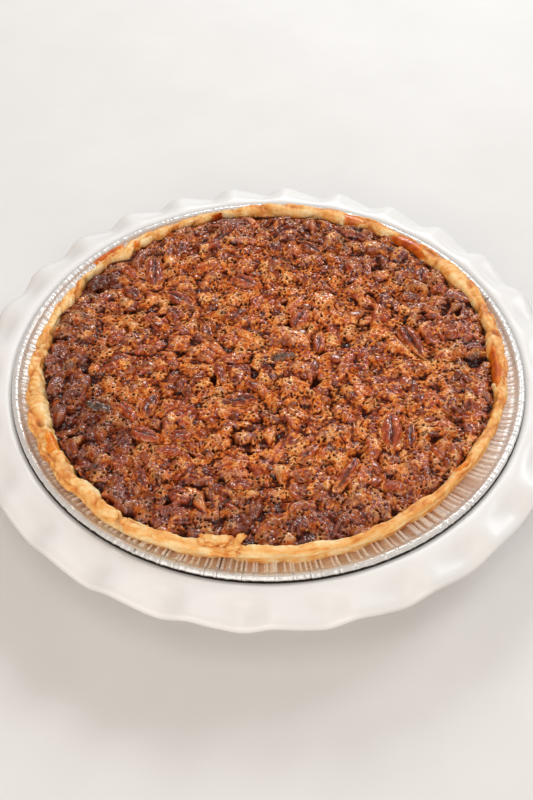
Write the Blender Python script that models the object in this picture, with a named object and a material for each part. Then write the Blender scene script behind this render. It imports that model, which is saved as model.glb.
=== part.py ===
"""Pecan pie in its foil tin, standing in a white ruffled pie dish.

Metres, +Z up.  The origin is the centre of the dish's base, and -Y is the front of the pie.
Angles round the pie are counted from the front, and grow towards +X.
"""
import math

import bmesh
import bpy
from mathutils import Euler, Vector

MM = 0.001

# Clearance kept between neighbouring pieces, and the same measured level where sides slope.
GAP = 0.3 * MM
SIDE_GAP = 1.4 * GAP

# Ruffled dish.
DISH_BASE_RADIUS = 94.0 * MM
DISH_RADIUS = 142.4 * MM
DISH_RIM_THICKNESS = 5.0 * MM
DISH_FLOOR = 6.0 * MM
DISH_SHOULDER_RADIUS = 127.5 * MM
DISH_SHOULDER_HEIGHT = 38.2 * MM
DISH_THROAT_RADIUS = 121.7 * MM
DISH_THROAT_DROP = 3.6 * MM
DISH_EDGE_HEIGHT = 31.2 * MM
RUFFLES = 27
RUFFLE_HEIGHT = 1.6 * MM
RUFFLE_REACH = 0.35 * MM
RUFFLE_CROWDING = 0.089
RUFFLE_TURN = 5.673
RUFFLE_SKEW = 0.2
STEPS_PER_RUFFLE = 6
BOWL_STEPS_PER_RUFFLE = 2

# Foil tin.  It stands on the dish's floor, and its bead lies just inside the dish's shoulder.
TIN_RIM_HEIGHT = 40.0 * MM
TIN_RADIUS = 122.0 * MM
TIN_BEAD = 1.5 * MM
TIN_FLANGE_RADIUS = 105.0 * MM
TIN_FLANGE_DROP = 5.5 * MM
TIN_BASE_RADIUS = 92.0 * MM
TIN_FOIL = 0.35 * MM
TIN_FOIL_ACROSS = 1.15 * TIN_FOIL

# Pie: crust shell and set filling.
PIE_STEPS = 60
CRUST_RADIUS = 113.4 * MM
CRUST_INNER_RADIUS = 107.0 * MM
CRUST_TOP = 7.4 * MM
CRUST_LIP = 3.3 * MM
CRUST_THICKNESS = 4.0 * MM
CRUST_FLOOR = 4.5 * MM
FILLING_EDGE = 3.6 * MM
FILLING_DOME = 1.6 * MM
FILLING_LUMPS = 0.9 * MM
FILLING_GAP = 1.3 * GAP

# Top of the pie's steep wall over the tin's base, just under the flange.
WALL_TOP = TIN_RIM_HEIGHT - TIN_FLANGE_DROP - DISH_FLOOR - 1.1 * MM

# How the crust's outer and inner lines wander: times round the pie, size in mm, and turn.
CRUST_EDGE_WAVES = ((1, 0.97, 5.61), (2, 1.93, 2.99), (7, 0.25, 5.72))
CRUST_INNER_WAVES = ((1, 1.26, 1.17), (2, 0.95, 2.15), (3, 0.52, 3.17), (5, 0.50, 5.81))

# Places where the crust is broken: angle from the front, half width of the break, depth.
CRUST_BREAKS = (
    (math.radians(-34.7), math.radians(2.6), 2.2 * MM),
    (math.radians(-8.5), math.radians(5.0), 1.4 * MM),
    (math.radians(-66.0), math.radians(5.5), 1.8 * MM),
    (math.radians(46.0), math.radians(4.0), 1.6 * MM),
    (math.radians(91.0), math.radians(5.0), 1.4 * MM),
    (math.radians(138.0), math.radians(7.0), 1.6 * MM),
    (math.radians(156.0), math.radians(4.0), 1.2 * MM),
)

# Pecans that stand out of the filling: centre x and y in mm from the middle of the pie,
# length and width in mm, heading in degrees from +X, and lift of the middle above the filling in mm.
HALVES = (
    (-57.3, 64.0, 23, 10.0, 97, 0.8),
    (55.5, -46.0, 21, 10.0, 86, 1.2),
    (64.2, -47.0, 15, 5.5, 84, 0.6),
    (69.5, 12.5, 22, 9.0, -66, 1.0),
    (16.0, 27.0, 14, 9.0, 68, 1.2),
    (24.8, 13.2, 16, 6.5, 84, 0.4),
    (-12.5, -24.5, 15, 9.0, 2, 0.8),
    (-54.5, -27.0, 15, 7.5, 72, 0.4),
    (-55.5, -46.0, 14, 8.0, -28, 0.6),
    (-29.5, 21.0, 14, 6.0, -72, 0.4),
    (-43.5, 43.0, 16, 8.0, -26, 0.6),
    (-10.5, 55.0, 14, 8.0, -24, 0.6),
    (22.8, 80.5, 13, 8.0, -40, 0.6),
    (78.0, 60.0, 13, 8.0, 84, 1.0),
    (18.0, -57.5, 15, 6.0, 46, 0.4),
    (34.0, -70.0, 22, 6.5, 62, 0.4),
)
CHUNKS = (
    (-43.6, 80.0, 19, 6.0, 88, 0.6),
    (-85.0, 55.5, 13, 9.0, 75, 1.0),
    (-69.5, 62.5, 13, 6.0, -52, 0.8),
    (-66.5, 47.0, 14, 6.5, -52, 0.4),
    (-45.0, 30.5, 13, 7.0, -62, 0.6),
    (-72.5, 17.0, 13, 6.0, 62, 0.4),
    (-15.0, 31.0, 14, 6.0, 48, 0.4),
    (4.5, 79.0, 11, 8.0, 20, 0.6),
    (71.5, 43.0, 15, 7.0, -4, 0.2),
    (85.5, 48.5, 9, 7.0, 60, 1.0),
    (7.0, 1.0, 14, 4.5, 12, 1.0),
    (-22.0, -10.0, 17, 5.5, -78, 0.6),
    (-65.0, -31.0, 16, 6.0, -56, 0.4),
    (-77.5, -29.5, 16, 5.5, -16, 0.6),
    (-39.0, -47.0, 12, 6.5, -2, 0.4),
    (-44.5, -56.5, 16, 6.0, -8, 0.6),
    (-56.5, -71.5, 14, 7.0, -62, 0.6),
    (-66.0, -62.0, 11, 6.0, 48, 0.4),
    (-12.0, -75.5, 15, 6.5, -8, 0.6),
    (55.0, -77.5, 11, 6.5, -8, 0.6),
)
PECAN_RINGS = 3
PECAN_SIDES = 8
PECAN_HEIGHT_RATIO = 0.78
GROOVE_DEPTH = 0.30
# How far a pecan is sunk, as a share of its half height, and how far it leans.
PECAN_SINK = 0.35
PECAN_PITCH = math.radians(5.0)
PECAN_ROLL = math.radians(9.0)

# Colours and finish of each material: base colour, roughness, metallic value.
LOOKS = {
    "glazed_ceramic": ((0.86, 0.84, 0.82), 0.18, 0.0),
    "foil": ((0.78, 0.76, 0.74), 0.30, 1.0),
    "baked_crust": ((0.80, 0.46, 0.17), 0.70, 0.0),
    "baked_filling": ((0.36, 0.12, 0.045), 0.45, 0.0),
    "toasted_pecan": ((0.27, 0.06, 0.025), 0.35, 0.0),
}


def clear_scene():
    """Remove whatever objects the scene holds."""
    for found in list(bpy.data.objects):
        bpy.data.objects.remove(found, do_unlink=True)


def material(slot):
    """A Principled material with the look named by slot, made once."""
    found = bpy.data.materials.get(slot)
    if found:
        return found
    colour, roughness, metallic = LOOKS[slot]
    made = bpy.data.materials.new(slot)
    made.use_nodes = True
    shader = made.node_tree.nodes["Principled BSDF"]
    shader.inputs["Base Color"].default_value = (*colour, 1.0)
    shader.inputs["Roughness"].default_value = roughness
    shader.inputs["Metallic"].default_value = metallic
    return made


def finish_object(name, mesh_maker, slot):
    """Turn a filled bmesh into a smooth-shaded object with its material."""
    mesh = bpy.data.meshes.new(name)
    mesh_maker.to_mesh(mesh)
    mesh_maker.free()
    mesh.shade_smooth()
    mesh.set_sharp_from_angle(angle=math.radians(50))
    mesh.materials.append(material(slot))
    made = bpy.data.objects.new(name, mesh)
    bpy.context.collection.objects.link(made)
    return made


def add_ring(maker, angles, place):
    """One closed ring of vertices; place(angle) gives the radius and height there."""
    ring = []
    for angle in angles:
        radius, height = place(angle)
        ring.append(maker.verts.new((radius * math.sin(angle), -radius * math.cos(angle), height)))
    return ring


def stitch(maker, first, second):
    """Join two rings with faces.  One may have a whole number of times the other's steps."""
    if len(first) == len(second):
        for here in range(len(first)):
            after = (here + 1) % len(first)
            maker.faces.new((first[here], first[after], second[after], second[here]))
        return
    flip = len(first) < len(second)
    fine, coarse = (second, first) if flip else (first, second)
    ratio = len(fine) // len(coarse)
    for corner in range(len(coarse)):
        start = corner * ratio
        steps = [fine[(start + step) % len(fine)] for step in range(ratio + 1)]
        near, far = coarse[corner], coarse[(corner + 1) % len(coarse)]
        middle = (ratio + 1) // 2
        faces = [(steps[step], steps[step + 1], near) for step in range(middle)]
        faces.append((steps[middle], far, near))
        faces += [(steps[step], steps[step + 1], far) for step in range(middle, ratio)]
        for face in faces:
            maker.faces.new(tuple(reversed(face)) if flip else face)


def turned_solid(name, rings, slot):
    """A closed body from rings of vertices, each (angles, place), with flat caps on both ends."""
    maker = bmesh.new()
    made = [add_ring(maker, angles, place) for angles, place in rings]
    for upper, lower in zip(made, made[1:]):
        stitch(maker, upper, lower)
    maker.faces.new(made[0])
    maker.faces.new(made[-1])
    bmesh.ops.recalc_face_normals(maker, faces=maker.faces)
    return finish_object(name, maker, slot)


def even_angles(steps):
    """Angles spread evenly round the pie."""
    return [2 * math.pi * step / steps for step in range(steps)]


# ---------------------------------------------------------------- dish

def ruffle_angles(steps_per_ruffle):
    """Angles that fall at the same places on every ruffle, crest and trough included."""
    count = RUFFLES * steps_per_ruffle
    angles = []
    for step in range(count):
        even = (2 * math.pi * step / steps_per_ruffle - RUFFLE_TURN) / RUFFLES
        angle = even
        for _ in range(20):
            angle = even + RUFFLE_CROWDING * math.sin(angle)
        angles.append(angle)
    return angles


def ruffle_wave(angle):
    """About 1 on a crest and -1 in a trough.

    Ruffles are wider at the front than at the back, and steeper on the side that faces -X.
    """
    phase = RUFFLES * (angle - RUFFLE_CROWDING * math.sin(angle)) + RUFFLE_TURN
    return math.cos(phase) - RUFFLE_SKEW * math.cos(angle) * math.sin(2 * phase)


def dish_ring(radius, height, ruffle):
    """A ring of the dish that rises, falls and reaches out with the ruffles by the share given."""
    def place(angle):
        wave = ruffle * ruffle_wave(angle)
        return radius + RUFFLE_REACH * wave, height + RUFFLE_HEIGHT * wave
    return place


def build_dish():
    """Thick bowl with a flat base and a rim that slopes down outwards in soft ruffles."""
    fine = ruffle_angles(STEPS_PER_RUFFLE)
    plain = ruffle_angles(BOWL_STEPS_PER_RUFFLE)
    base, shoulder = DISH_BASE_RADIUS, DISH_SHOULDER_RADIUS
    half = DISH_RIM_THICKNESS / 2
    profile = (
        (plain, base, 0.0, 0.0),
        (plain, base + 4.0 * MM, 1.6 * MM, 0.0),
        (plain, shoulder - 5.5 * MM, DISH_SHOULDER_HEIGHT - 8.7 * MM, 0.0),
        (plain, shoulder - 1.5 * MM, DISH_SHOULDER_HEIGHT - 5.8 * MM, 0.0),
        (fine, DISH_RADIUS - 8.0 * MM, DISH_EDGE_HEIGHT - 1.0 * MM, 0.6),
        (fine, DISH_RADIUS - 1.6 * MM, DISH_EDGE_HEIGHT - half + 0.4 * MM, 1.0),
        (fine, DISH_RADIUS, DISH_EDGE_HEIGHT, 1.0),
        (fine, DISH_RADIUS - 1.8 * MM, DISH_EDGE_HEIGHT + half - 0.6 * MM, 1.0),
        (fine, DISH_RADIUS - 9.5 * MM, DISH_EDGE_HEIGHT + half + 1.8 * MM, 0.55),
        (plain, shoulder, DISH_SHOULDER_HEIGHT, 0.0),
        (plain, DISH_THROAT_RADIUS, DISH_SHOULDER_HEIGHT - DISH_THROAT_DROP, 0.0),
        (plain, base + 4.0 * MM, DISH_FLOOR + 2.6 * MM, 0.0),
        (plain, base + 0.5 * MM, DISH_FLOOR, 0.0),
    )
    rings = [(angles, dish_ring(radius, height, ruffle)) for angles, radius, height, ruffle in profile]
    return turned_solid("dish", rings, "glazed_ceramic")


# ---------------------------------------------------------------- tin

def plain_ring(radius, height):
    """A ring of one radius and height all round."""
    def place(_angle):
        return radius, height
    return place


def build_tin():
    """Thin foil tin: flat base, steep wall, shallow flange and a rolled bead round the rim."""
    base = DISH_FLOOR + GAP
    flange = TIN_RIM_HEIGHT - TIN_FLANGE_DROP
    neck = TIN_RADIUS - 2 * TIN_BEAD
    outside = (
        (TIN_BASE_RADIUS, base),
        (TIN_FLANGE_RADIUS, flange - TIN_FOIL),
        (neck, TIN_RIM_HEIGHT - TIN_BEAD),
        (TIN_RADIUS - 0.6 * TIN_BEAD, TIN_RIM_HEIGHT - TIN_BEAD),
        (TIN_RADIUS, TIN_RIM_HEIGHT - 0.4 * TIN_BEAD),
    )
    inside = (
        (TIN_RADIUS - 0.7 * TIN_BEAD, TIN_RIM_HEIGHT),
        (neck - 0.2 * TIN_BEAD, TIN_RIM_HEIGHT - 0.6 * TIN_BEAD),
        (TIN_FLANGE_RADIUS - TIN_FOIL_ACROSS, flange),
        (TIN_BASE_RADIUS - TIN_FOIL_ACROSS, base + TIN_FOIL),
    )
    angles = even_angles(PIE_STEPS)
    rings = [(angles, plain_ring(radius, height)) for radius, height in outside + inside]
    return turned_solid("tin", rings, "foil")


# ---------------------------------------------------------------- crust

def crust_wave(angle):
    """Slow unevenness of the crust round the pie, between about -1 and 1."""
    return (
        0.45 * math.sin(3 * angle + 0.7)
        + 0.30 * math.sin(7 * angle + 2.1)
        + 0.25 * math.sin(13 * angle + 4.0)
    )


def crust_break(angle):
    """How much lower the crust is where it has broken or where filling has run over it."""
    drop = 0.0
    for middle, half_width, depth in CRUST_BREAKS:
        turn = (angle - middle + math.pi) % (2 * math.pi) - math.pi
        drop += depth * math.exp(-((turn / half_width) ** 2))
    return drop


def round_wave(angle, waves):
    """Sum of sines round the pie, from (times round, size in mm, turn) entries."""
    return MM * sum(size * math.sin(times * angle + turn) for times, size, turn in waves)


def crust_edge(angle):
    """Outer radius of the crust, which stands furthest out at the back right and the front left."""
    return CRUST_RADIUS + round_wave(angle, CRUST_EDGE_WAVES)


def crust_inner(angle):
    """Radius where the crust's band meets the filling; the band is narrowest at the front."""
    return CRUST_INNER_RADIUS + round_wave(angle, CRUST_INNER_WAVES)


def rim_ring(share, height, bite):
    """A ring of the rim: share 0 is its inner side and 1 its outer edge, height is over the tin's rim."""
    def place(angle):
        inner = crust_inner(angle)
        radius = inner + share * (crust_edge(angle) - inner)
        lift = height + bite * (0.6 * MM * crust_wave(angle) - crust_break(angle))
        return radius, TIN_RIM_HEIGHT + lift
    return place


def crust_wall(offset, height):
    """A plain ring at the tin's wall, moved inwards by offset, at a height over the tin's base."""
    slope = (TIN_FLANGE_RADIUS - TIN_BASE_RADIUS) / (TIN_RIM_HEIGHT - TIN_FLANGE_DROP - DISH_FLOOR)
    return plain_ring(TIN_BASE_RADIUS + slope * height - offset, DISH_FLOOR + GAP + height)


def build_crust():
    """Shell of pastry that lines the tin and ends in a thick, uneven rim over the flange."""
    angles = even_angles(PIE_STEPS)
    skin = TIN_FOIL_ACROSS + SIDE_GAP
    base = TIN_FOIL + GAP
    places = (
        crust_wall(skin + 0.4 * MM, base),
        crust_wall(skin, WALL_TOP),
        plain_ring(TIN_FLANGE_RADIUS + 2.4 * MM, TIN_RIM_HEIGHT - 1.0 * MM),
        rim_ring(0.92, CRUST_LIP - 1.0 * MM, 0.2),
        rim_ring(1.00, CRUST_LIP + 1.4 * MM, 0.5),
        rim_ring(0.80, CRUST_TOP - 0.4 * MM, 1.0),
        rim_ring(0.45, CRUST_TOP, 1.0),
        rim_ring(0.12, CRUST_TOP - 1.6 * MM, 0.8),
        rim_ring(0.00, FILLING_EDGE - 1.8 * MM, 0.0),
        crust_wall(skin + CRUST_THICKNESS, WALL_TOP - 4.0 * MM),
        crust_wall(skin + CRUST_THICKNESS + 1.0 * MM, base + CRUST_FLOOR),
    )
    return turned_solid("crust", [(angles, place) for place in places], "baked_crust")


# ---------------------------------------------------------------- filling

def filling_height(x, y):
    """Height of the filling's top: a low dome that sinks to its edge, with slow lumps."""
    radius = math.hypot(x, y) / CRUST_RADIUS
    lumps = (
        math.sin(0.9 + x * 131 + 0.8 * math.sin(y * 77))
        + math.sin(2.2 + y * 148 + 0.9 * math.sin(x * 91))
        + math.sin(4.1 + (x - y) * 217)
    )
    dome = FILLING_DOME * (1 - radius ** 4)
    return TIN_RIM_HEIGHT + FILLING_EDGE + dome + FILLING_LUMPS * lumps / 3


def filling_ring(radius):
    """A ring of the filling's top at a share of the crust's inner radius."""
    def place(angle):
        reach = radius * (crust_inner(angle) - FILLING_GAP)
        x, y = reach * math.sin(angle), -reach * math.cos(angle)
        return reach, filling_height(x, y)
    return place


def filling_side(angle):
    """The filling's side, just under its top edge."""
    return crust_inner(angle) - FILLING_GAP, TIN_RIM_HEIGHT + FILLING_EDGE - 1.6 * MM


def build_filling():
    """Set filling: fills the crust shell and ends in the lumpy top that the pecans sit in."""
    full = even_angles(PIE_STEPS)
    half = even_angles(PIE_STEPS // 2)
    quarter = even_angles(PIE_STEPS // 4)
    skin = TIN_FOIL_ACROSS + SIDE_GAP + CRUST_THICKNESS + FILLING_GAP
    base = TIN_FOIL + GAP + CRUST_FLOOR + GAP
    rings = (
        (full, crust_wall(skin + 1.0 * MM, base)),
        (full, crust_wall(skin, WALL_TOP - 4.0 * MM)),
        (full, filling_side),
        (full, filling_ring(0.975)),
        (full, filling_ring(0.87)),
        (full, filling_ring(0.74)),
        (half, filling_ring(0.59)),
        (half, filling_ring(0.44)),
        (half, filling_ring(0.29)),
        (quarter, filling_ring(0.14)),
    )
    return turned_solid("filling", rings, "baked_filling")


# ---------------------------------------------------------------- pecans

def pecan_section(share, side, broken):
    """Point of a pecan's skin in units of its half sizes.

    share runs from -1 to 1 along the nut and side from 0 to 1 round it, starting on top.  A half
    narrows to both ends and has a groove along its back; a broken chunk is blunter, without one.
    """
    power = 0.32 if broken else 0.5
    fullness = (1 - share * share) ** power * (1 - 0.16 * share)
    turn = 2 * math.pi * side
    groove = 0.0 if broken else GROOVE_DEPTH * max(0.0, math.cos(turn)) ** 6
    return Vector((share, fullness * math.sin(turn), fullness * (1 - groove) * math.cos(turn)))


def add_pecan(maker, half_sizes, broken, matrix=None):
    """Add one closed pecan to a bmesh: rings along its length between two end points."""
    def put(point):
        scaled = Vector((point.x * half_sizes.x, point.y * half_sizes.y, point.z * half_sizes.z))
        return maker.verts.new(matrix @ scaled if matrix else scaled)

    tail = put(Vector((-1, 0, 0)))
    nose = put(Vector((1, 0, 0)))
    rings = []
    for step in range(PECAN_RINGS):
        share = -math.cos(math.pi * (step + 0.75) / (PECAN_RINGS + 0.5))
        sides = [side / PECAN_SIDES for side in range(PECAN_SIDES)]
        rings.append([put(pecan_section(share, side, broken)) for side in sides])
    for first, second in zip(rings, rings[1:]):
        stitch(maker, first, second)
    for side in range(PECAN_SIDES):
        after = (side + 1) % PECAN_SIDES
        maker.faces.new((rings[0][after], rings[0][side], tail))
        maker.faces.new((rings[-1][side], rings[-1][after], nose))


def pecan_place(entry, index):
    """Half sizes, centre and rotation of a pecan that lies in the filling's top."""
    x, y, length, width, heading, lift = entry
    half_sizes = Vector((length / 2, width / 2, PECAN_HEIGHT_RATIO * width / 2)) * MM
    x, y = x * MM, y * MM
    centre = Vector((x, y, filling_height(x, y) + lift * MM - PECAN_SINK * half_sizes.z))
    pitch = PECAN_PITCH * math.sin(2.3 * index)
    roll = PECAN_ROLL * math.sin(1.7 * index + 1.0)
    return half_sizes, centre, Euler((roll, pitch, math.radians(heading)))


def build_pecans():
    """The pecans as objects of their own, and one cutter that holds their pockets."""
    pockets = bmesh.new()
    entries = [(entry, False) for entry in HALVES] + [(entry, True) for entry in CHUNKS]
    for index, (entry, broken) in enumerate(entries, start=1):
        half_sizes, centre, turn = pecan_place(entry, index)
        maker = bmesh.new()
        add_pecan(maker, half_sizes, broken)
        bmesh.ops.recalc_face_normals(maker, faces=maker.faces)
        pecan = finish_object(f"pecan_{index:02d}", maker, "toasted_pecan")
        pecan.location = centre
        pecan.rotation_euler = turn
        matrix = turn.to_matrix().to_4x4()
        matrix.translation = centre
        add_pecan(pockets, half_sizes + Vector((1, 1, 1)) * FILLING_GAP, broken, matrix)
    bmesh.ops.recalc_face_normals(pockets, faces=pockets.faces)
    cutter = finish_object("pecan_pockets", pockets, "toasted_pecan")
    cutter.hide_render = True
    cutter.display_type = "WIRE"
    return cutter


def main():
    clear_scene()
    build_dish()
    build_tin()
    build_crust()
    filling = build_filling()
    cut = filling.modifiers.new("pecan_pockets", "BOOLEAN")
    cut.operation = "DIFFERENCE"
    cut.solver = "EXACT"
    cut.object = build_pecans()


main()
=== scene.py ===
"""Looks of the pecan pie: dish, foil tin, crust, filling, pecans and syrup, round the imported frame.

Lengths are metres, with MM for millimetres.  Angles round the pie are counted from the front (-Y)
and grow towards +X, so a point at angle a and radius r lies at (r sin a, -r cos a).
"""
import math

import bpy
import numpy as np
from mathutils import Matrix, Vector


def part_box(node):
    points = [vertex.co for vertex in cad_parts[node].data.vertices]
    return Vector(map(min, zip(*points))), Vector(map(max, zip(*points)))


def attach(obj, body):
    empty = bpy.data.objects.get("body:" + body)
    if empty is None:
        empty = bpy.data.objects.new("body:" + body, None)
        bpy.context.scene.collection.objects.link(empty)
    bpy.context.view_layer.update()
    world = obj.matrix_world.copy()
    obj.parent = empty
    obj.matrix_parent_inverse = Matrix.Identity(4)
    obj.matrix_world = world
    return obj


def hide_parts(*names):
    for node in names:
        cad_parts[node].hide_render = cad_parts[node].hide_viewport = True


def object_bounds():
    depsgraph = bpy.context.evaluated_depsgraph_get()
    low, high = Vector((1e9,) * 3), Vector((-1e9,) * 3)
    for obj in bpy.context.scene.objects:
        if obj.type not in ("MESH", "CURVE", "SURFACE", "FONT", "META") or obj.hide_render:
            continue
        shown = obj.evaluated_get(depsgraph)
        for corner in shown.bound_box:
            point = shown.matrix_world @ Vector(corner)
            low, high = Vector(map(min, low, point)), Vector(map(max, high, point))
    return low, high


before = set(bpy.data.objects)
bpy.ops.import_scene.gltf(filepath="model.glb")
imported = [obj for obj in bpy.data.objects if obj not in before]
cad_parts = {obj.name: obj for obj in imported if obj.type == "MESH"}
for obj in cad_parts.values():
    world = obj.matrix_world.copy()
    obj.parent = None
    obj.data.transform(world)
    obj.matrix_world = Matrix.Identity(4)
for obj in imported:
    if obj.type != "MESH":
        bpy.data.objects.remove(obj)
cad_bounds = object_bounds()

MM = 0.001
TURN = 2 * math.pi

# ---------------------------------------------------------------- sizes from the frame

DISH_LOW, DISH_HIGH = (np.array(corner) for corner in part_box("dish"))
TIN_LOW, TIN_HIGH = (np.array(corner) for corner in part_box("tin"))
CRUST_LOW, CRUST_HIGH = (np.array(corner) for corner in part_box("crust"))
RIM = TIN_HIGH[2]
TIN_RADIUS = TIN_HIGH[0]
PIE_TOP = cad_bounds[1][2] - 0.1 * MM
PECANS = sorted(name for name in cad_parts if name.startswith("pecan_"))
HALVES = 16


# ---------------------------------------------------------------- meshes from arrays

def fill_mesh(name, points, faces):
    """Mesh from an array of points and a list of face arrays, each (count, corners) of indices."""
    mesh = bpy.data.meshes.new(name)
    mesh.vertices.add(len(points))
    mesh.vertices.foreach_set("co", points.astype(np.float32).ravel())
    corners = np.concatenate([block.ravel() for block in faces]).astype(np.int32)
    sizes = np.concatenate([np.full(len(block), block.shape[1]) for block in faces])
    mesh.loops.add(len(corners))
    mesh.loops.foreach_set("vertex_index", corners)
    mesh.polygons.add(len(sizes))
    starts = np.concatenate([[0], np.cumsum(sizes)[:-1]]).astype(np.int32)
    mesh.polygons.foreach_set("loop_start", starts)
    mesh.update(calc_edges=True)
    mesh.shade_smooth()
    return mesh


def add_piece(name, points, faces, finish, node=None, marks=None, normals=None):
    """Put a mesh into the scene as a piece of the object, with its material and attributes."""
    mesh = fill_mesh(name, points, faces)
    if normals is not None:
        mesh.normals_split_custom_set_from_vertices(normals)
    for label, values in (marks or {}).items():
        mark = mesh.attributes.new(label, "FLOAT", "POINT")
        mark.data.foreach_set("value", values.astype(np.float32).ravel())
    mesh.materials.append(finish)
    piece = bpy.data.objects.new(name, mesh)
    bpy.context.collection.objects.link(piece)
    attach(piece, "root")
    if node:
        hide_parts(node)
    return piece


def grid_faces(rows, columns, wrap_rows=False, wrap_columns=False, start=0, flip=False):
    """Quads between neighbouring points of a grid that is stored row by row."""
    row = np.arange(rows if wrap_rows else rows - 1)[:, None]
    column = np.arange(columns if wrap_columns else columns - 1)[None, :]
    next_row, next_column = (row + 1) % rows, (column + 1) % columns
    quads = np.stack([
        row * columns + column,
        row * columns + next_column,
        next_row * columns + next_column,
        next_row * columns + column,
    ], axis=-1).reshape(-1, 4) + start
    return quads[:, ::-1] if flip else quads


def turned_points(radius, height, angles):
    """Points of a turned surface from radius and height arrays of rows by angles."""
    radius, height, angles = np.broadcast_arrays(radius, height, angles)
    return np.stack([radius * np.sin(angles), -radius * np.cos(angles), height], axis=-1)


def smooth_path(corners, count):
    """Points spread evenly along a Catmull-Rom curve through the corners."""
    corners = np.asarray(corners, float)
    padded = np.vstack([2 * corners[0] - corners[1], corners, 2 * corners[-1] - corners[-2]])
    share = np.linspace(0, len(corners) - 1, 40 * len(corners))
    index = np.minimum(share.astype(int), len(corners) - 2)
    step = (share - index)[:, None]
    a, b, c, d = (padded[index + k] for k in range(4))
    curve = 0.5 * (2 * b + (c - a) * step + (2 * a - 5 * b + 4 * c - d) * step ** 2
                   + (3 * b - a - 3 * c + d) * step ** 3)
    length = np.concatenate([[0], np.cumsum(np.linalg.norm(np.diff(curve, axis=0), axis=1))])
    places = np.linspace(0, length[-1], count)
    return np.stack([np.interp(places, length, curve[:, axis]) for axis in range(curve.shape[1])], axis=1)


def smoothstep(low, high, value):
    """0 below low, 1 above high and an S-curve between them."""
    share = np.clip((value - low) / (high - low), 0, 1)
    return share * share * (3 - 2 * share)


def wave_noise(shape, spacing, wavelength, seed):
    """Random field that repeats at its edges: white noise through a ring-shaped filter.

    spacing and wavelength are pairs for the two directions; the field has mean 0 and spread 1.
    """
    spectrum = np.fft.rfft2(np.random.default_rng(seed).standard_normal(shape))
    across = np.fft.fftfreq(shape[0], spacing[0])[:, None] * wavelength[0]
    along = np.fft.rfftfreq(shape[1], spacing[1])[None, :] * wavelength[1]
    spectrum *= np.exp(-((np.hypot(across, along) - 1) / 0.45) ** 2)
    field = np.fft.irfft2(spectrum, shape)
    return field / field.std()


# ---------------------------------------------------------------- node helpers

class Graph:
    """A node tree with short ways to add and join nodes."""

    def __init__(self, tree):
        self.tree = tree

    def put(self, socket, value):
        """Join a socket to another, or set its value."""
        if isinstance(value, bpy.types.NodeSocket):
            self.tree.links.new(value, socket)
        else:
            socket.default_value = value

    def add(self, kind, inputs=None, **settings):
        made = self.tree.nodes.new(kind)
        for key, value in settings.items():
            setattr(made, key, value)
        for key, value in (inputs or {}).items():
            self.put(made.inputs[key], value)
        return made

    def math(self, operation, first, second=0.0, third=0.0, clamp=False):
        made = self.add("ShaderNodeMath", {0: first, 1: second, 2: third}, operation=operation)
        made.use_clamp = clamp
        return made.outputs[0]

    def mix(self, share, first, second, blend="MIX"):
        made = self.add("ShaderNodeMix", data_type="RGBA", blend_type=blend)
        self.put(made.inputs[0], share)
        self.put(made.inputs[6], first)
        self.put(made.inputs[7], second)
        return made.outputs[2]

    def ramp(self, share, stops, interpolation="LINEAR"):
        made = self.add("ShaderNodeValToRGB", {"Fac": share})
        made.color_ramp.interpolation = interpolation
        points = made.color_ramp.elements
        while len(points) < len(stops):
            points.new(0.5)
        for point, (place, colour) in zip(points, stops):
            point.position = place
            point.color = colour if len(colour) == 4 else (*colour, 1.0)
        return made.outputs["Color"]

    def spread(self, value, low, high, out_low=0.0, out_high=1.0):
        made = self.add("ShaderNodeMapRange", {
            "Value": value, "From Min": low, "From Max": high, "To Min": out_low, "To Max": out_high,
        }, interpolation_type="SMOOTHSTEP")
        return made.outputs["Result"]

    def mark(self, label):
        return self.add("ShaderNodeAttribute", attribute_name=label).outputs["Fac"]

    def place(self):
        return self.add("ShaderNodeTexCoord").outputs["Object"]

    def noise(self, size, detail=3.0, roughness=0.55, place=None):
        """Noise with features about size metres across."""
        return self.add("ShaderNodeTexNoise", {
            "Vector": place or self.place(), "Scale": 1.0 / size, "Detail": detail, "Roughness": roughness,
        }).outputs["Fac"]


def grey(value):
    """A grey colour of one value."""
    return (value, value, value, 1.0)


def new_group(name, inputs, outputs):
    """A shader node group with its sockets; returns its graph and the two end nodes."""
    tree = bpy.data.node_groups.new(name, "ShaderNodeTree")
    kinds = {"value": "NodeSocketFloat", "colour": "NodeSocketColor", "vector": "NodeSocketVector"}
    for label, kind, default in inputs:
        socket = tree.interface.new_socket(label, in_out="INPUT", socket_type=kinds[kind])
        if default is not None:
            socket.default_value = default
    for label, kind in outputs:
        tree.interface.new_socket(label, in_out="OUTPUT", socket_type=kinds[kind])
    graph = Graph(tree)
    return graph, graph.add("NodeGroupInput"), graph.add("NodeGroupOutput")


def grain_group():
    """Fine relief of baked food: two sizes of noise added up and turned into a normal."""
    graph, given, result = new_group("baked_grain", (
        ("Coarse", "value", 900.0), ("Fine", "value", 2600.0), ("Depth", "value", 0.0002),
        ("Share", "value", 1.0),
    ), (("Normal", "vector"), ("Height", "value")))
    place = graph.place()
    heights = []
    for label, detail in (("Coarse", 3.0), ("Fine", 2.0)):
        noise = graph.add("ShaderNodeTexNoise", {"Vector": place, "Scale": given.outputs[label],
                                                 "Detail": detail})
        heights.append(noise.outputs["Fac"])
    total = graph.math("ADD", heights[0], graph.math("MULTIPLY", heights[1], 0.4))
    bump = graph.add("ShaderNodeBump", {"Height": total, "Distance": given.outputs["Depth"],
                                        "Strength": given.outputs["Share"]})
    graph.put(result.inputs["Normal"], bump.outputs["Normal"])
    graph.put(result.inputs["Height"], total)
    return graph.tree


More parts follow.
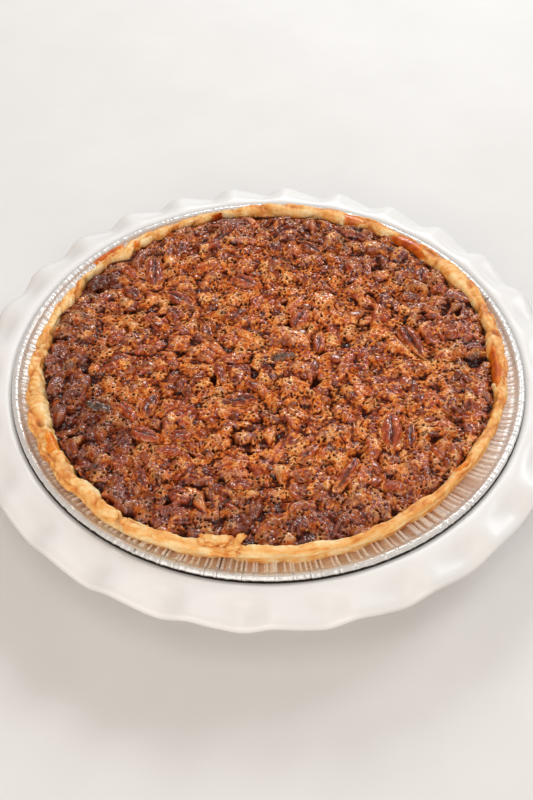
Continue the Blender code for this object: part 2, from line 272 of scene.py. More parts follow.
def shade_group():
    """Darkening of a colour in hollows and pores, towards a deep brown of its own hue."""
    graph, given, result = new_group("hollow_shade", (
        ("Colour", "colour", grey(0.5)), ("Hollow", "value", 0.0), ("Deep", "colour", grey(0.02)),
    ), (("Colour", "colour"),))
    graph.put(result.inputs["Colour"],
              graph.mix(given.outputs["Hollow"], given.outputs["Colour"], given.outputs["Deep"]))
    return graph.tree


def mottle_group():
    """Blotches of two colours: noise of one size, cut softly at a level."""
    graph, given, result = new_group("mottle", (
        ("First", "colour", grey(0.2)), ("Second", "colour", grey(0.6)), ("Scale", "value", 200.0),
        ("Level", "value", 0.5), ("Softness", "value", 0.15),
    ), (("Colour", "colour"), ("Mask", "value")))
    noise = graph.add("ShaderNodeTexNoise", {"Vector": graph.place(), "Scale": given.outputs["Scale"],
                                             "Detail": 4.0, "Roughness": 0.6})
    low = graph.math("SUBTRACT", given.outputs["Level"], given.outputs["Softness"])
    high = graph.math("ADD", given.outputs["Level"], given.outputs["Softness"])
    mask = graph.spread(noise.outputs["Fac"], low, high)
    graph.put(result.inputs["Mask"], mask)
    graph.put(result.inputs["Colour"], graph.mix(mask, given.outputs["First"], given.outputs["Second"]))
    return graph.tree


def web_group():
    """Lace of thin walls between cells: distance to the nearest wall of a wandering cell pattern."""
    graph, given, result = new_group("foam_web", (
        ("Scale", "value", 500.0), ("Width", "value", 0.2),
    ), (("Mask", "value"),))
    place = graph.place()
    sway = graph.add("ShaderNodeTexNoise", {"Vector": place, "Scale": graph.math(
        "MULTIPLY", given.outputs["Scale"], 0.7), "Detail": 1.0}).outputs["Color"]
    shift = graph.add("ShaderNodeVectorMath", {0: sway, 1: (0.5, 0.5, 0.5)}, operation="SUBTRACT")
    reach = graph.add("ShaderNodeVectorMath", {0: shift.outputs[0], "Scale": 1.1 * MM}, operation="SCALE")
    moved = graph.add("ShaderNodeVectorMath", {0: place, 1: reach.outputs[0]}, operation="ADD")
    cells = graph.add("ShaderNodeTexVoronoi", {"Vector": moved.outputs[0], "Scale": given.outputs["Scale"]},
                      feature="DISTANCE_TO_EDGE")
    mask = graph.spread(cells.outputs["Distance"], 0.0, given.outputs["Width"], 1.0, 0.0)
    graph.put(result.inputs["Mask"], mask)
    return graph.tree


GRAIN, SHADE, MOTTLE, WEB = grain_group(), shade_group(), mottle_group(), web_group()


def use_group(graph, tree, **inputs):
    """Place a node group in a material, with its inputs by name."""
    made = graph.add("ShaderNodeGroup", node_tree=tree)
    for key, value in inputs.items():
        graph.put(made.inputs[key], value)
    return made


def new_finish(name, **constants):
    """A material with its graph and Principled shader; constants go on the shader's own sockets."""
    finish = bpy.data.materials.new(name)
    finish.use_nodes = True
    graph = Graph(finish.node_tree)
    shader = finish.node_tree.nodes["Principled BSDF"]
    for key, value in constants.items():
        shader.inputs[key.replace("_", " ")].default_value = value
    return finish, graph, shader


# ---------------------------------------------------------------- finishes

def glaze_finish():
    """White tin glaze: nearly even colour, faintly warmer in blotches, mirror-smooth coat."""
    finish, graph, shader = new_finish("white_glaze", Roughness=0.40, Coat_Roughness=0.26, IOR=1.42)
    tone = use_group(graph, MOTTLE, First=(0.84, 0.83, 0.82, 1), Second=(0.87, 0.86, 0.85, 1),
                     Scale=22.0, Level=0.5, Softness=0.25)
    graph.put(shader.inputs["Base Color"], tone.outputs["Colour"])
    graph.put(shader.inputs["Coat Weight"], graph.spread(graph.noise(30 * MM), 0.2, 0.8, 0.20, 0.40))
    ripple = graph.add("ShaderNodeBump", {"Height": graph.noise(14 * MM, 2.0), "Distance": 0.12 * MM,
                                          "Strength": 0.5})
    graph.put(shader.inputs["Normal"], ripple.outputs["Normal"])
    return finish


def foil_finish():
    """Bright foil: metal with rubbed, cloudy patches, dulled on the bead, and with a painted reflection of the
    crust and painted shade that turn the valleys between its ribs brown."""
    finish, graph, shader = new_finish("bright_foil", Metallic=0.36)
    tone = use_group(graph, MOTTLE, First=(0.92, 0.91, 0.905, 1), Second=(0.99, 0.985, 0.98, 1),
                     Scale=160.0, Level=0.5, Softness=0.2)
    # Painted reflection of the crust and painted shade: brown in the valleys between the flutes.
    reflection_tinted = graph.mix(graph.mark("crust_reflection_and_shade"), tone.outputs["Colour"], (0.58, 0.42, 0.30, 1))
    dulled = graph.mix(graph.mark("dull"), reflection_tinted, (0.72, 0.705, 0.69, 1))
    graph.put(shader.inputs["Base Color"], dulled)
    graph.put(shader.inputs["Roughness"], graph.spread(graph.noise(3 * MM), 0.3, 0.7, 0.24, 0.38))
    return finish


def crust_finish():
    """Baked pastry: pale gold to deep brown from the brown mark, which holds real browning and also painted light and
    shade; darker where syrup soaked in.
    """
    finish, graph, shader = new_finish("golden_crust", Subsurface_Weight=0.12, Subsurface_Scale=1.5 * MM)
    shader.inputs["Subsurface Radius"].default_value = (1.0, 0.5, 0.2)
    brown = graph.math("ADD", graph.mark("brown"),
                       graph.spread(graph.noise(5 * MM, 4.0), 0.3, 0.7, -0.13, 0.15))
    baked = graph.ramp(brown, (
        (0.0, (0.98, 0.74, 0.40)), (0.20, (0.95, 0.58, 0.22)), (0.40, (0.89, 0.42, 0.10)),
        (0.62, (0.74, 0.25, 0.036)), (0.82, (0.52, 0.14, 0.018)), (1.0, (0.28, 0.06, 0.009)),
    ))
    speck = graph.spread(graph.noise(1.4 * MM, 3.0, 0.6), 0.55, 0.74, 0.0, 0.30)
    baked = graph.mix(speck, baked, (0.98, 0.76, 0.44, 1))
    baked = graph.mix(graph.mark("soak"), baked, (0.66, 0.20, 0.022, 1))
    shaded = use_group(graph, SHADE, Colour=baked, Hollow=graph.mark("hollow"), Deep=(0.30, 0.10, 0.02, 1))
    graph.put(shader.inputs["Base Color"], shaded.outputs["Colour"])
    dry = graph.spread(graph.noise(4 * MM), 0.3, 0.7, 0.42, 0.62)
    graph.put(shader.inputs["Roughness"], graph.math("SUBTRACT", dry, graph.math(
        "MULTIPLY", graph.mark("soak"), 0.25)))
    grain = use_group(graph, GRAIN, Coarse=620.0, Fine=2000.0, Depth=0.34 * MM, Share=0.8)
    graph.put(shader.inputs["Normal"], grain.outputs["Normal"])
    return finish


FOAM_STOPS = (
    (0.20, (0.24, 0.023, 0.003)), (0.44, (0.50, 0.078, 0.007)), (0.70, (0.78, 0.225, 0.034)),
    (1.0, (0.97, 0.50, 0.18)),
)
SKIN_STOPS = (
    (0.0, (0.075, 0.010, 0.004)), (0.3, (0.20, 0.024, 0.007)), (0.6, (0.40, 0.055, 0.013)),
    (0.85, (0.60, 0.12, 0.024)), (1.0, (0.74, 0.23, 0.05)),
)


def foam_colour(graph, lift):
    """Colour of the foam: a lace of light walls in two sizes over red-brown film, with painted light that makes it
    lighter on crests.
    """
    wide = use_group(graph, WEB, Scale=1 / (2.3 * MM), Width=0.26).outputs["Mask"]
    narrow = use_group(graph, WEB, Scale=1 / (1.15 * MM), Width=0.30).outputs["Mask"]
    lace = graph.math("ADD", graph.math("MULTIPLY", wide, 0.24), graph.math("MULTIPLY", narrow, 0.16))
    tone = graph.math("ADD", lace, graph.math("MULTIPLY", graph.noise(4 * MM, 4.0, 0.6), 0.85))
    tone = graph.math("ADD", tone, graph.math("MULTIPLY", graph.noise(13 * MM, 2.0), 0.45))
    return graph.ramp(graph.math("ADD", tone, graph.math("SUBTRACT", lift, 0.16)), FOAM_STOPS)


def filling_finish():
    """Baked caramel foam with nut skins in it; marks say where skin, pores, hollows and scorch are."""
    finish, graph, shader = new_finish("caramel_foam", Coat_Roughness=0.13, Coat_IOR=1.68, IOR=1.45,
                                       Specular_IOR_Level=0.1)
    # Painted light: the crest mark lightens foam and skin on raised places and on pore rims.
    crest = graph.mark("crest")
    foam = foam_colour(graph, graph.math("SUBTRACT", graph.math("MULTIPLY", crest, 0.34), 0.14))
    skin_tone = graph.math("ADD", graph.mark("tone"), graph.math(
        "MULTIPLY", graph.math("SUBTRACT", graph.noise(1.6 * MM, 3.0), 0.5), 0.9))
    skin_tone = graph.math("ADD", skin_tone, graph.math("MULTIPLY", crest, 0.25))
    skin = graph.ramp(skin_tone, SKIN_STOPS)
    colour = graph.mix(graph.mark("skin"), foam, skin)
    colour = graph.mix(graph.mark("scorch"), colour, (0.13, 0.017, 0.005, 1))
    shaded = use_group(graph, SHADE, Colour=colour, Hollow=graph.mark("hollow"), Deep=(0.022, 0.003, 0.001, 1))
    graph.put(shader.inputs["Base Color"], shaded.outputs["Colour"])
    graph.put(shader.inputs["Roughness"], graph.spread(graph.noise(2.2 * MM), 0.3, 0.7, 0.35, 0.6))
    graph.put(shader.inputs["Coat Weight"], graph.mark("wet"))
    grain = use_group(graph, GRAIN, Coarse=900.0, Fine=2400.0, Depth=0.30 * MM, Share=0.7)
    graph.put(shader.inputs["Normal"], grain.outputs["Normal"])
    return finish


def nut_finish(name, stops):
    """Toasted pecan: skin tone along its ridges, foam that clings to it, and a thin syrup coat."""
    finish, graph, shader = new_finish(name, Coat_Roughness=0.15, Coat_IOR=1.65, IOR=1.45,
                                       Specular_IOR_Level=0.15)
    tone = graph.math("ADD", graph.mark("tone"), graph.math(
        "MULTIPLY", graph.math("SUBTRACT", graph.noise(1.8 * MM, 4.0), 0.5), 0.8))
    skin = graph.ramp(tone, stops)
    lace = use_group(graph, WEB, Scale=1 / (1.8 * MM), Width=0.22).outputs["Mask"]
    cling = graph.math("ADD", graph.mark("foam"), graph.math("MULTIPLY", lace, 0.12), clamp=True)
    colour = graph.mix(cling, skin, foam_colour(graph, -0.12))
    shaded = use_group(graph, SHADE, Colour=colour, Hollow=graph.mark("hollow"), Deep=(0.022, 0.003, 0.001, 1))
    graph.put(shader.inputs["Base Color"], shaded.outputs["Colour"])
    graph.put(shader.inputs["Roughness"], graph.spread(graph.noise(1.5 * MM), 0.3, 0.7, 0.30, 0.5))
    graph.put(shader.inputs["Coat Weight"], graph.spread(graph.noise(2 * MM), 0.4, 0.6, 0.3, 1.0))
    grain = use_group(graph, GRAIN, Coarse=700.0, Fine=2000.0, Depth=0.35 * MM, Share=0.8)
    graph.put(shader.inputs["Normal"], grain.outputs["Normal"])
    return finish


def syrup_finish():
    """Amber syrup: clear orange that deepens to red-brown where it lies thick, under a wet gloss."""
    finish, graph, shader = new_finish("amber_syrup", Roughness=0.30, IOR=1.45, Subsurface_Weight=0.2,
                                       Subsurface_Scale=1.5 * MM, Coat_Roughness=0.10,
                                       Specular_IOR_Level=0.25)
    shader.inputs["Subsurface Radius"].default_value = (1.0, 0.35, 0.1)
    depth = graph.math("ADD", graph.mark("depth"), graph.spread(graph.noise(4 * MM), 0.3, 0.7, -0.14, 0.14))
    graph.put(shader.inputs["Base Color"], graph.ramp(depth, (
        (0.0, (0.92, 0.40, 0.06)), (0.3, (0.78, 0.20, 0.014)), (0.6, (0.50, 0.075, 0.006)),
        (1.0, (0.22, 0.022, 0.003)),
    )))
    graph.put(shader.inputs["Coat Weight"], graph.spread(graph.noise(3 * MM), 0.42, 0.66, 0.0, 0.7))
    return finish


# ---------------------------------------------------------------- dish

RUFFLES = 27
RUFFLE_CROWDING = 0.089
RUFFLE_TURN = 5.673
RUFFLE_SKEW = 0.2
RUFFLE_HEIGHT = 2.1 * MM
RUFFLE_REACH = 0.35 * MM
DISH_STEPS = 27 * 28
DISH_ROWS = 100


def ruffle_wave(angle):
    """About 1 on a crest and -1 in a trough: a cosine that is wider at the front than at the back,
    leaned over by its second harmonic so that the side facing -X is the steeper one."""
    phase = RUFFLES * (angle - RUFFLE_CROWDING * np.sin(angle)) + RUFFLE_TURN
    return np.cos(phase) - RUFFLE_SKEW * np.cos(angle) * np.sin(2 * phase)


def build_dish(finish):
    """Dish turned from one smooth profile; radius and height follow the ruffles by a share that
    grows from the shoulder to the edge as a smooth step."""
    radius = (DISH_HIGH[0] - DISH_LOW[0]) / 2 - RUFFLE_REACH
    shoulder = TIN_RADIUS + 5.4 * MM
    top = DISH_HIGH[2]
    edge = top - 7.0 * MM
    floor = TIN_LOW[2] - 0.3 * MM
    base = 94.0 * MM
    outline = (
        (0.0, 0.0), (0.5 * base, 0.0), (base - 4 * MM, 0.0), (base, 0.0), (base + 2.6 * MM, 0.5 * MM),
        (base + 4.6 * MM, 2.2 * MM), (base + 13 * MM, 12.0 * MM),
        (shoulder - 11.0 * MM, top - 15.2 * MM), (shoulder - 5.0 * MM, top - 8.4 * MM),
        (shoulder - 0.5 * MM, top - 5.9 * MM), (radius - 8.0 * MM, edge - 0.9 * MM),
        (radius - 3.0 * MM, edge - 2.0 * MM), (radius - 0.9 * MM, edge - 1.5 * MM), (radius, edge),
        (radius - 0.8 * MM, edge + 1.4 * MM), (radius - 2.6 * MM, edge + 2.1 * MM),
        (radius - 9.0 * MM, edge + 4.2 * MM), (shoulder + 2.6 * MM, top - 0.8 * MM),
        (shoulder, top), (shoulder - 2.4 * MM, top), (shoulder - 4.5 * MM, top - 0.15 * MM),
        (shoulder - 5.05 * MM, top - 0.8 * MM), (shoulder - 5.3 * MM, top - 3.0 * MM),
        (shoulder - 7.8 * MM, top - 8.6 * MM), (base + 15 * MM, floor + 15.6 * MM),
        (base + 5.0 * MM, floor + 3.6 * MM), (base + 2.0 * MM, floor + 0.9 * MM), (base - 2 * MM, floor),
        (0.5 * base, floor), (0.0, floor),
    )
    path = smooth_path(outline, DISH_ROWS)[1:-1]
    path[:, 1] = np.clip(path[:, 1], 0.0, top)
    angles = np.arange(DISH_STEPS) * TURN / DISH_STEPS
    share = smoothstep(shoulder - 1.0 * MM, shoulder + 9.0 * MM, path[:, :1])
    wave = share * ruffle_wave(angles)[None, :]
    reach = path[:, :1] + RUFFLE_REACH * np.minimum(wave, 1.0)
    height = path[:, 1:] + RUFFLE_HEIGHT * wave
    points = turned_points(reach, height, angles[None, :]).reshape(-1, 3)
    rows = len(path)
    ends = np.array([[0, 0, 0.0], [0, 0, floor]])
    first, last = rows * DISH_STEPS, rows * DISH_STEPS + 1
    step = np.arange(DISH_STEPS)
    after = (step + 1) % DISH_STEPS
    under = np.stack([np.full_like(step, first), after, step], axis=1)
    over = np.stack([np.full_like(step, last), (rows - 1) * DISH_STEPS + step,
                     (rows - 1) * DISH_STEPS + after], axis=1)
    faces = [grid_faces(rows, DISH_STEPS, wrap_columns=True), under, over]
    return add_piece("ruffled_dish", np.vstack([points, ends]), faces, finish, "dish")


# ---------------------------------------------------------------- foil tin

FLUTES = 272
# Places across one flute, in shares of its pitch, and the height of the foil there, 1 on the crest.
FLUTE_PLACES = np.array((-0.5, -0.32, -0.21, -0.11, 0.0, 0.11, 0.21, 0.32))
FLUTE_LIFTS = np.array((0.0, 0.06, 0.42, 0.86, 1.0, 0.86, 0.42, 0.06))
TIN_BEAD = 1.5 * MM
TIN_FLANGE = 105.0 * MM
TIN_BASE = 92.0 * MM
FOIL = 0.13 * MM


def tin_outline():
    """Radius and height of the tin's skin from near its middle out over the bead and round under it."""
    floor = TIN_LOW[2]
    bead_middle = TIN_RADIUS - 1.8 * MM
    bead = [(bead_middle + 1.75 * MM * math.cos(turn), RIM - 1.25 * MM + 1.2 * MM * math.sin(turn))
            for turn in np.radians(np.arange(172, -150, -40))]
    flange = smooth_path(((TIN_FLANGE - 0.6 * MM, RIM - 7.1 * MM), (TIN_FLANGE + 1.2 * MM, RIM - 5.3 * MM),
                          (TIN_FLANGE + 6 * MM, RIM - 3.9 * MM), (bead_middle - 4.4 * MM, RIM - 3.1 * MM),
                          (bead_middle - 3.3 * MM, RIM - 2.3 * MM), (bead_middle - 2.5 * MM, RIM - 1.9 * MM),
                          (bead_middle - 1.95 * MM, RIM - 2.2 * MM)), 10)
    wall = ((0.3 * TIN_BASE, floor), (TIN_BASE - 1.0 * MM, floor), (TIN_BASE + 6.2 * MM, floor + 14.0 * MM))
    return np.vstack([wall, flange, bead])


def build_tin(finish):
    """Pressed tin: its outline as a thin double skin turned round.  Narrow crests with flat panels
    between them run up the wall and over the flange and nearly vanish on the floor and the bead;
    pitch, height and the panels' tilt are uneven."""
    random = np.random.default_rng(9)
    count = FLUTES * len(FLUTE_PLACES)
    flute = np.repeat(np.arange(FLUTES), len(FLUTE_PLACES))
    across = np.tile(FLUTE_PLACES, FLUTES)
    slow = wave_noise((4, FLUTES), (1.0, TURN / FLUTES), (2.0, TURN / 9), 3)[0][flute]
    angles = (flute + across + 0.9 * slow + 0.24 * random.standard_normal(FLUTES)[flute]) * TURN / FLUTES
    size = 1.15 + 0.12 * slow + 0.34 * random.standard_normal(FLUTES)[flute]
    tilt = 0.45 * random.standard_normal(FLUTES)[flute] * across
    crest = np.tile(FLUTE_LIFTS, FLUTES) * size + tilt - 0.2
    path = tin_outline()
    radius = path[:, :1]
    share = smoothstep(0.9 * TIN_BASE, TIN_BASE + 4 * MM, radius)
    share = share * (1 - 0.90 * smoothstep(TIN_RADIUS - 5.4 * MM, TIN_RADIUS - 3.9 * MM, radius))
    spacing = (1.0 * MM, TURN * TIN_RADIUS / count)
    dents = wave_noise((len(path), count), spacing, (6 * MM, 4.0 * MM), 5)
    creases = wave_noise((len(path), count), spacing, (5 * MM, 1.7 * MM), 6)
    rough = smoothstep(TIN_RADIUS - 5 * MM, TIN_RADIUS - 3 * MM, radius)
    lift = MM * (share * crest[None, :] + 0.04 * share * dents + rough * (0.06 * dents + 0.03 * creases))
    side = np.gradient(path, axis=0)
    side /= np.linalg.norm(side, axis=1, keepdims=True)
    outward = np.stack([-side[:, 1], side[:, 0]], axis=1)
    layers = []
    for offset in (FOIL / 2, -FOIL / 2):
        reach = radius + (lift + offset) * outward[:, :1]
        height = path[:, 1:] + (lift + offset) * outward[:, 1:]
        layers.append(turned_points(np.minimum(reach, TIN_RADIUS), np.clip(height, TIN_LOW[2], RIM),
                                    angles[None, :]))
    points = np.concatenate([layers[1], layers[0][::-1]], axis=0)
    # Painted reflection of the crust and painted shade under it: brown in the valleys all round, much stronger at the
    # front and next to the crust.
    valley = smoothstep(0.75, 0.0, crest + 0.2)[None, :] * share
    front = smoothstep(0.15, 0.95, np.cos(angles - math.radians(-8)))[None, :]
    near = smoothstep(TIN_RADIUS - 4.2 * MM, TIN_RADIUS - 10.0 * MM, radius)
    crust_reflection_and_shade = valley * (0.16 + front * (0.45 + 0.45 * near)) + 0.15 * front * near * share
    crust_reflection_and_shade = crust_reflection_and_shade * (1 + 0.18 * random.standard_normal(FLUTES)[flute])[None, :]
    dull = smoothstep(TIN_RADIUS - 4.6 * MM, TIN_RADIUS - 3.6 * MM, radius) + 0 * crest[None, :]
    marks = {label: np.concatenate([values, values[::-1]]) for label, values in (
        ("crust_reflection_and_shade", np.clip(crust_reflection_and_shade, 0, 0.95)), ("dull", 0.8 * dull))}
    faces = [grid_faces(len(points), count, wrap_rows=True, wrap_columns=True)]
    add_piece("fluted_tin", points.reshape(-1, 3), faces, finish, "tin", marks)


def build_tin_floor(finish):
    """Two discs and an edge that close the middle of the tin's turned skin."""
    size = 96
    ring = np.arange(size) * TURN / size
    levels = TIN_LOW[2] + np.array([[0.0], [FOIL]])
    discs = turned_points(np.full_like(levels, 0.305 * TIN_BASE), levels, ring[None, :])
    middle = np.array([[0, 0, levels[0, 0]], [0, 0, levels[1, 0]]])
    step = np.arange(size)
    after = (step + 1) % size
    faces = [
        np.stack([np.full(size, 2 * size), after, step], axis=1),
        np.stack([np.full(size, 2 * size + 1), size + step, size + after], axis=1),
        grid_faces(2, size, wrap_columns=True),
    ]
    marks = {label: np.zeros(2 * size + 2) for label in ("crust_reflection_and_shade", "dull")}
    add_piece("tin_floor", np.vstack([discs.reshape(-1, 3), middle]), faces, finish, marks=marks)


# ---------------------------------------------------------------- crust

CRUST_STEPS = 1240
CRUST_ROWS = 78
CRUST_EDGE = 113.4 * MM
# Times round the pie, size in mm and turn of each wave in the crust's lines.
EDGE_WAVES = ((1, 0.97, 5.61), (2, 1.93, 2.99), (3, 0.19, 5.29), (4, 0.17, 0.69), (5, 0.22, 5.30),
              (7, 0.25, 5.72), (19, 0.16, 1.2), (37, 0.12, 3.0))
INNER_WAVES = ((17, 0.2, 2.0), (31, 0.25, 4.0), (53, 0.15, 1.0))
TOP_WAVES = ((4, 0.25, 1.9), (9, 0.22, 0.2), (17, 0.16, 4.0))
# Angle in degrees and how far the edge stands out from its waves there, in mm.
EDGE_SHIFTS = np.array((
    (-180, -0.9), (-170, -1.4), (-160, -2.1), (-150, -1.7), (-145, -0.2), (-140, -1.0), (-130, -1.0),
    (-110, -0.7), (-100, -0.4), (-90, 0.2), (-80, 1.3), (-70, 2.5), (-60, 2.3), (-52, 2.3), (-46.5, 0.7),
    (-41, 2.0), (-36, 1.7), (-30, 2.1), (-25, 1.3), (-20, 0.9), (0, 0.6), (30, 0.2), (60, 0.3), (90, -0.2),
    (100, -0.5), (110, -1.2), (117, -0.5), (124, 0.2), (130, -2.0), (140, -1.5), (150, -1.3), (160, -0.9),
    (170, -1.7),
))
# The same for the line where the filling meets the band.
INNER_LINE = np.array((
    (-180, 106.7), (-174, 106.8), (-170, 107.6), (-167, 108.6), (-164, 106.8), (-155, 106.0), (-148, 105.4),
    (-141, 105.2), (-136, 104.6), (-131, 106.1), (-125, 107.2), (-119, 105.8), (-112, 104.3), (-104, 105.1),
    (-84, 105.4), (-73, 104.8), (-66, 105.6), (-58, 106.6), (-50, 107.6), (-45, 107.2), (-38, 110.0),
    (-30, 109.3), (-20, 109.0), (-15, 107.6), (-8, 107.0), (0, 107.1), (6, 108.9), (20, 109.1), (27, 107.6),
    (34, 106.3), (42, 106.8), (50, 106.4), (60, 106.0), (70, 107.3), (77, 106.8), (83, 105.2), (93, 104.6),
    (99, 106.6), (106, 107.5), (114, 106.7), (121, 105.4), (130, 106.0), (140, 106.2), (147, 107.8),
    (152, 108.6), (158, 105.4), (165, 107.2), (174, 106.6),
))
CRUST_TABS = (
    # Where pastry laps in over the filling: angle and half width in degrees, reach in mm.
    (-136.0, 2.2, 2.6), (-10.5, 2.6, 3.6),
)
CRUST_BREAKS = (
    # Angle and half width in degrees, depth in mm, share of the band it covers from its outer side.
    (-34.2, 0.95, 5.0, 0.80),
    (-9.0, 3.4, 1.5, 1.0),
    (-69.4, 1.2, 2.4, 0.0),
    (-48.5, 0.8, 1.2, 0.35),
    (-26.5, 0.7, 0.8, 0.5),
    (-94.5, 0.5, 0.7, 1.0),
    (73.0, 0.6, 0.6, 0.7),
)
SYRUP_RUNS = (
    # Angle and half width in degrees, inner and outer share of the band, thickness in mm.
    (137.6, 5.6, -0.16, 0.82, 0.62),
    (155.6, 2.9, -0.10, 0.86, 0.40),
    (86.2, 7.2, -0.18, 0.64, 0.55),
    (52.6, 3.6, 0.02, 0.68, 0.25),
    (-62.4, 3.6, -0.04, 0.70, 0.30),
    (-166.3, 1.6, -0.10, 0.25, 0.80),
    (-141.0, 1.1, 0.02, 0.60, 0.25),
)
SYRUP_SINK = 0.9 * MM


def turn_from(angle, middle):
    """Signed angle from a middle, between half a turn back and half a turn on."""
    return (angle - middle + math.pi) % TURN - math.pi


def round_wave(angle, waves):
    """Sum of sines round the pie, in metres, from (times round, size in mm, turn) entries."""
    return MM * sum(size * np.sin(times * angle + turn) for times, size, turn in waves)


def crust_edge(angle):
    """Outer radius of the crust, which stands furthest out at the back right and the front left."""
    shift = np.interp(np.degrees(angle), EDGE_SHIFTS[:, 0], EDGE_SHIFTS[:, 1], period=360)
    return CRUST_EDGE + MM * shift + round_wave(angle, EDGE_WAVES)


def crust_inner(angle):
    """Radius where the filling meets the band, which is narrowest at the front."""
    line = np.interp(np.degrees(angle), INNER_LINE[:, 0], INNER_LINE[:, 1], period=360)
    inner = MM * line + round_wave(angle, INNER_WAVES)
    for place, width, reach in CRUST_TABS:
        inner = inner - reach * MM * np.exp(-(turn_from(angle, math.radians(place)) / math.radians(width)) ** 2)
    return inner


def crust_top(angle):
    """Height of the band over the tin's rim."""
    return 7.0 * MM + round_wave(angle, TOP_WAVES)


def crust_section(angle, around):
    """Radius and height of the band's skin: a rounded box section, undercut at its outer foot.

    angle runs round the pie and around goes round the section from its outer side over its top.
    """
    edge, inner, top = crust_edge(angle), crust_inner(angle), crust_top(angle)
    middle, half = (edge + inner) / 2, (edge - inner) / 2
    cosine, sine = np.cos(around), np.sin(around)
    blunt = 2 / 2.6
    reach = half * np.sign(cosine) * np.abs(cosine) ** blunt
    hang = np.exp(-(turn_from(angle, math.radians(-47)) / math.radians(30)) ** 4)
    foot = -7.0 * MM + (8.8 - 2.8 * hang) * MM * smoothstep(-0.3, 0.8, cosine)
    rise = (top - foot) / 2 * np.sign(sine) * np.abs(sine) ** blunt
    wide = smoothstep(2.4 * MM, 4.6 * MM, half)
    dip = wide * 1.5 * MM * smoothstep(0.2, 1.0, -cosine) * np.maximum(sine, 0)
    return middle + reach, RIM + (top + foot) / 2 + rise - dip


def billow(field):
    """Rounded humps between sharp creases, from 0 in a crease to 1: a noise field's size, squashed."""
    return np.tanh(1.3 * (np.sqrt(field ** 2 + 0.05) - 0.15))


def syrup_reach(angle, share):
    """How far inside a syrup run a place on the band lies: 0 at its edge and 1 in its middle.

    share is 0 on the band's inner side and 1 on its outer side.
    """
    reach = np.zeros(np.broadcast(angle, share).shape)
    for index, (place, width, inside, outside, _) in enumerate(SYRUP_RUNS):
        across = turn_from(angle, math.radians(place)) / math.radians(width)
        along = (share - (inside + outside) / 2) / ((outside - inside) / 2)
        around = np.arctan2(along, across)
        ragged = 1 + 0.16 * np.sin(3 * around + 2.0 * index) + 0.10 * np.sin(5 * around + 1.3 * index)
        ragged = ragged + 0.06 * np.sin(9 * around + index)
        reach = np.maximum(reach, np.clip(1 - (np.hypot(across, along) * ragged) ** 2.4, 0, 1))
    return reach


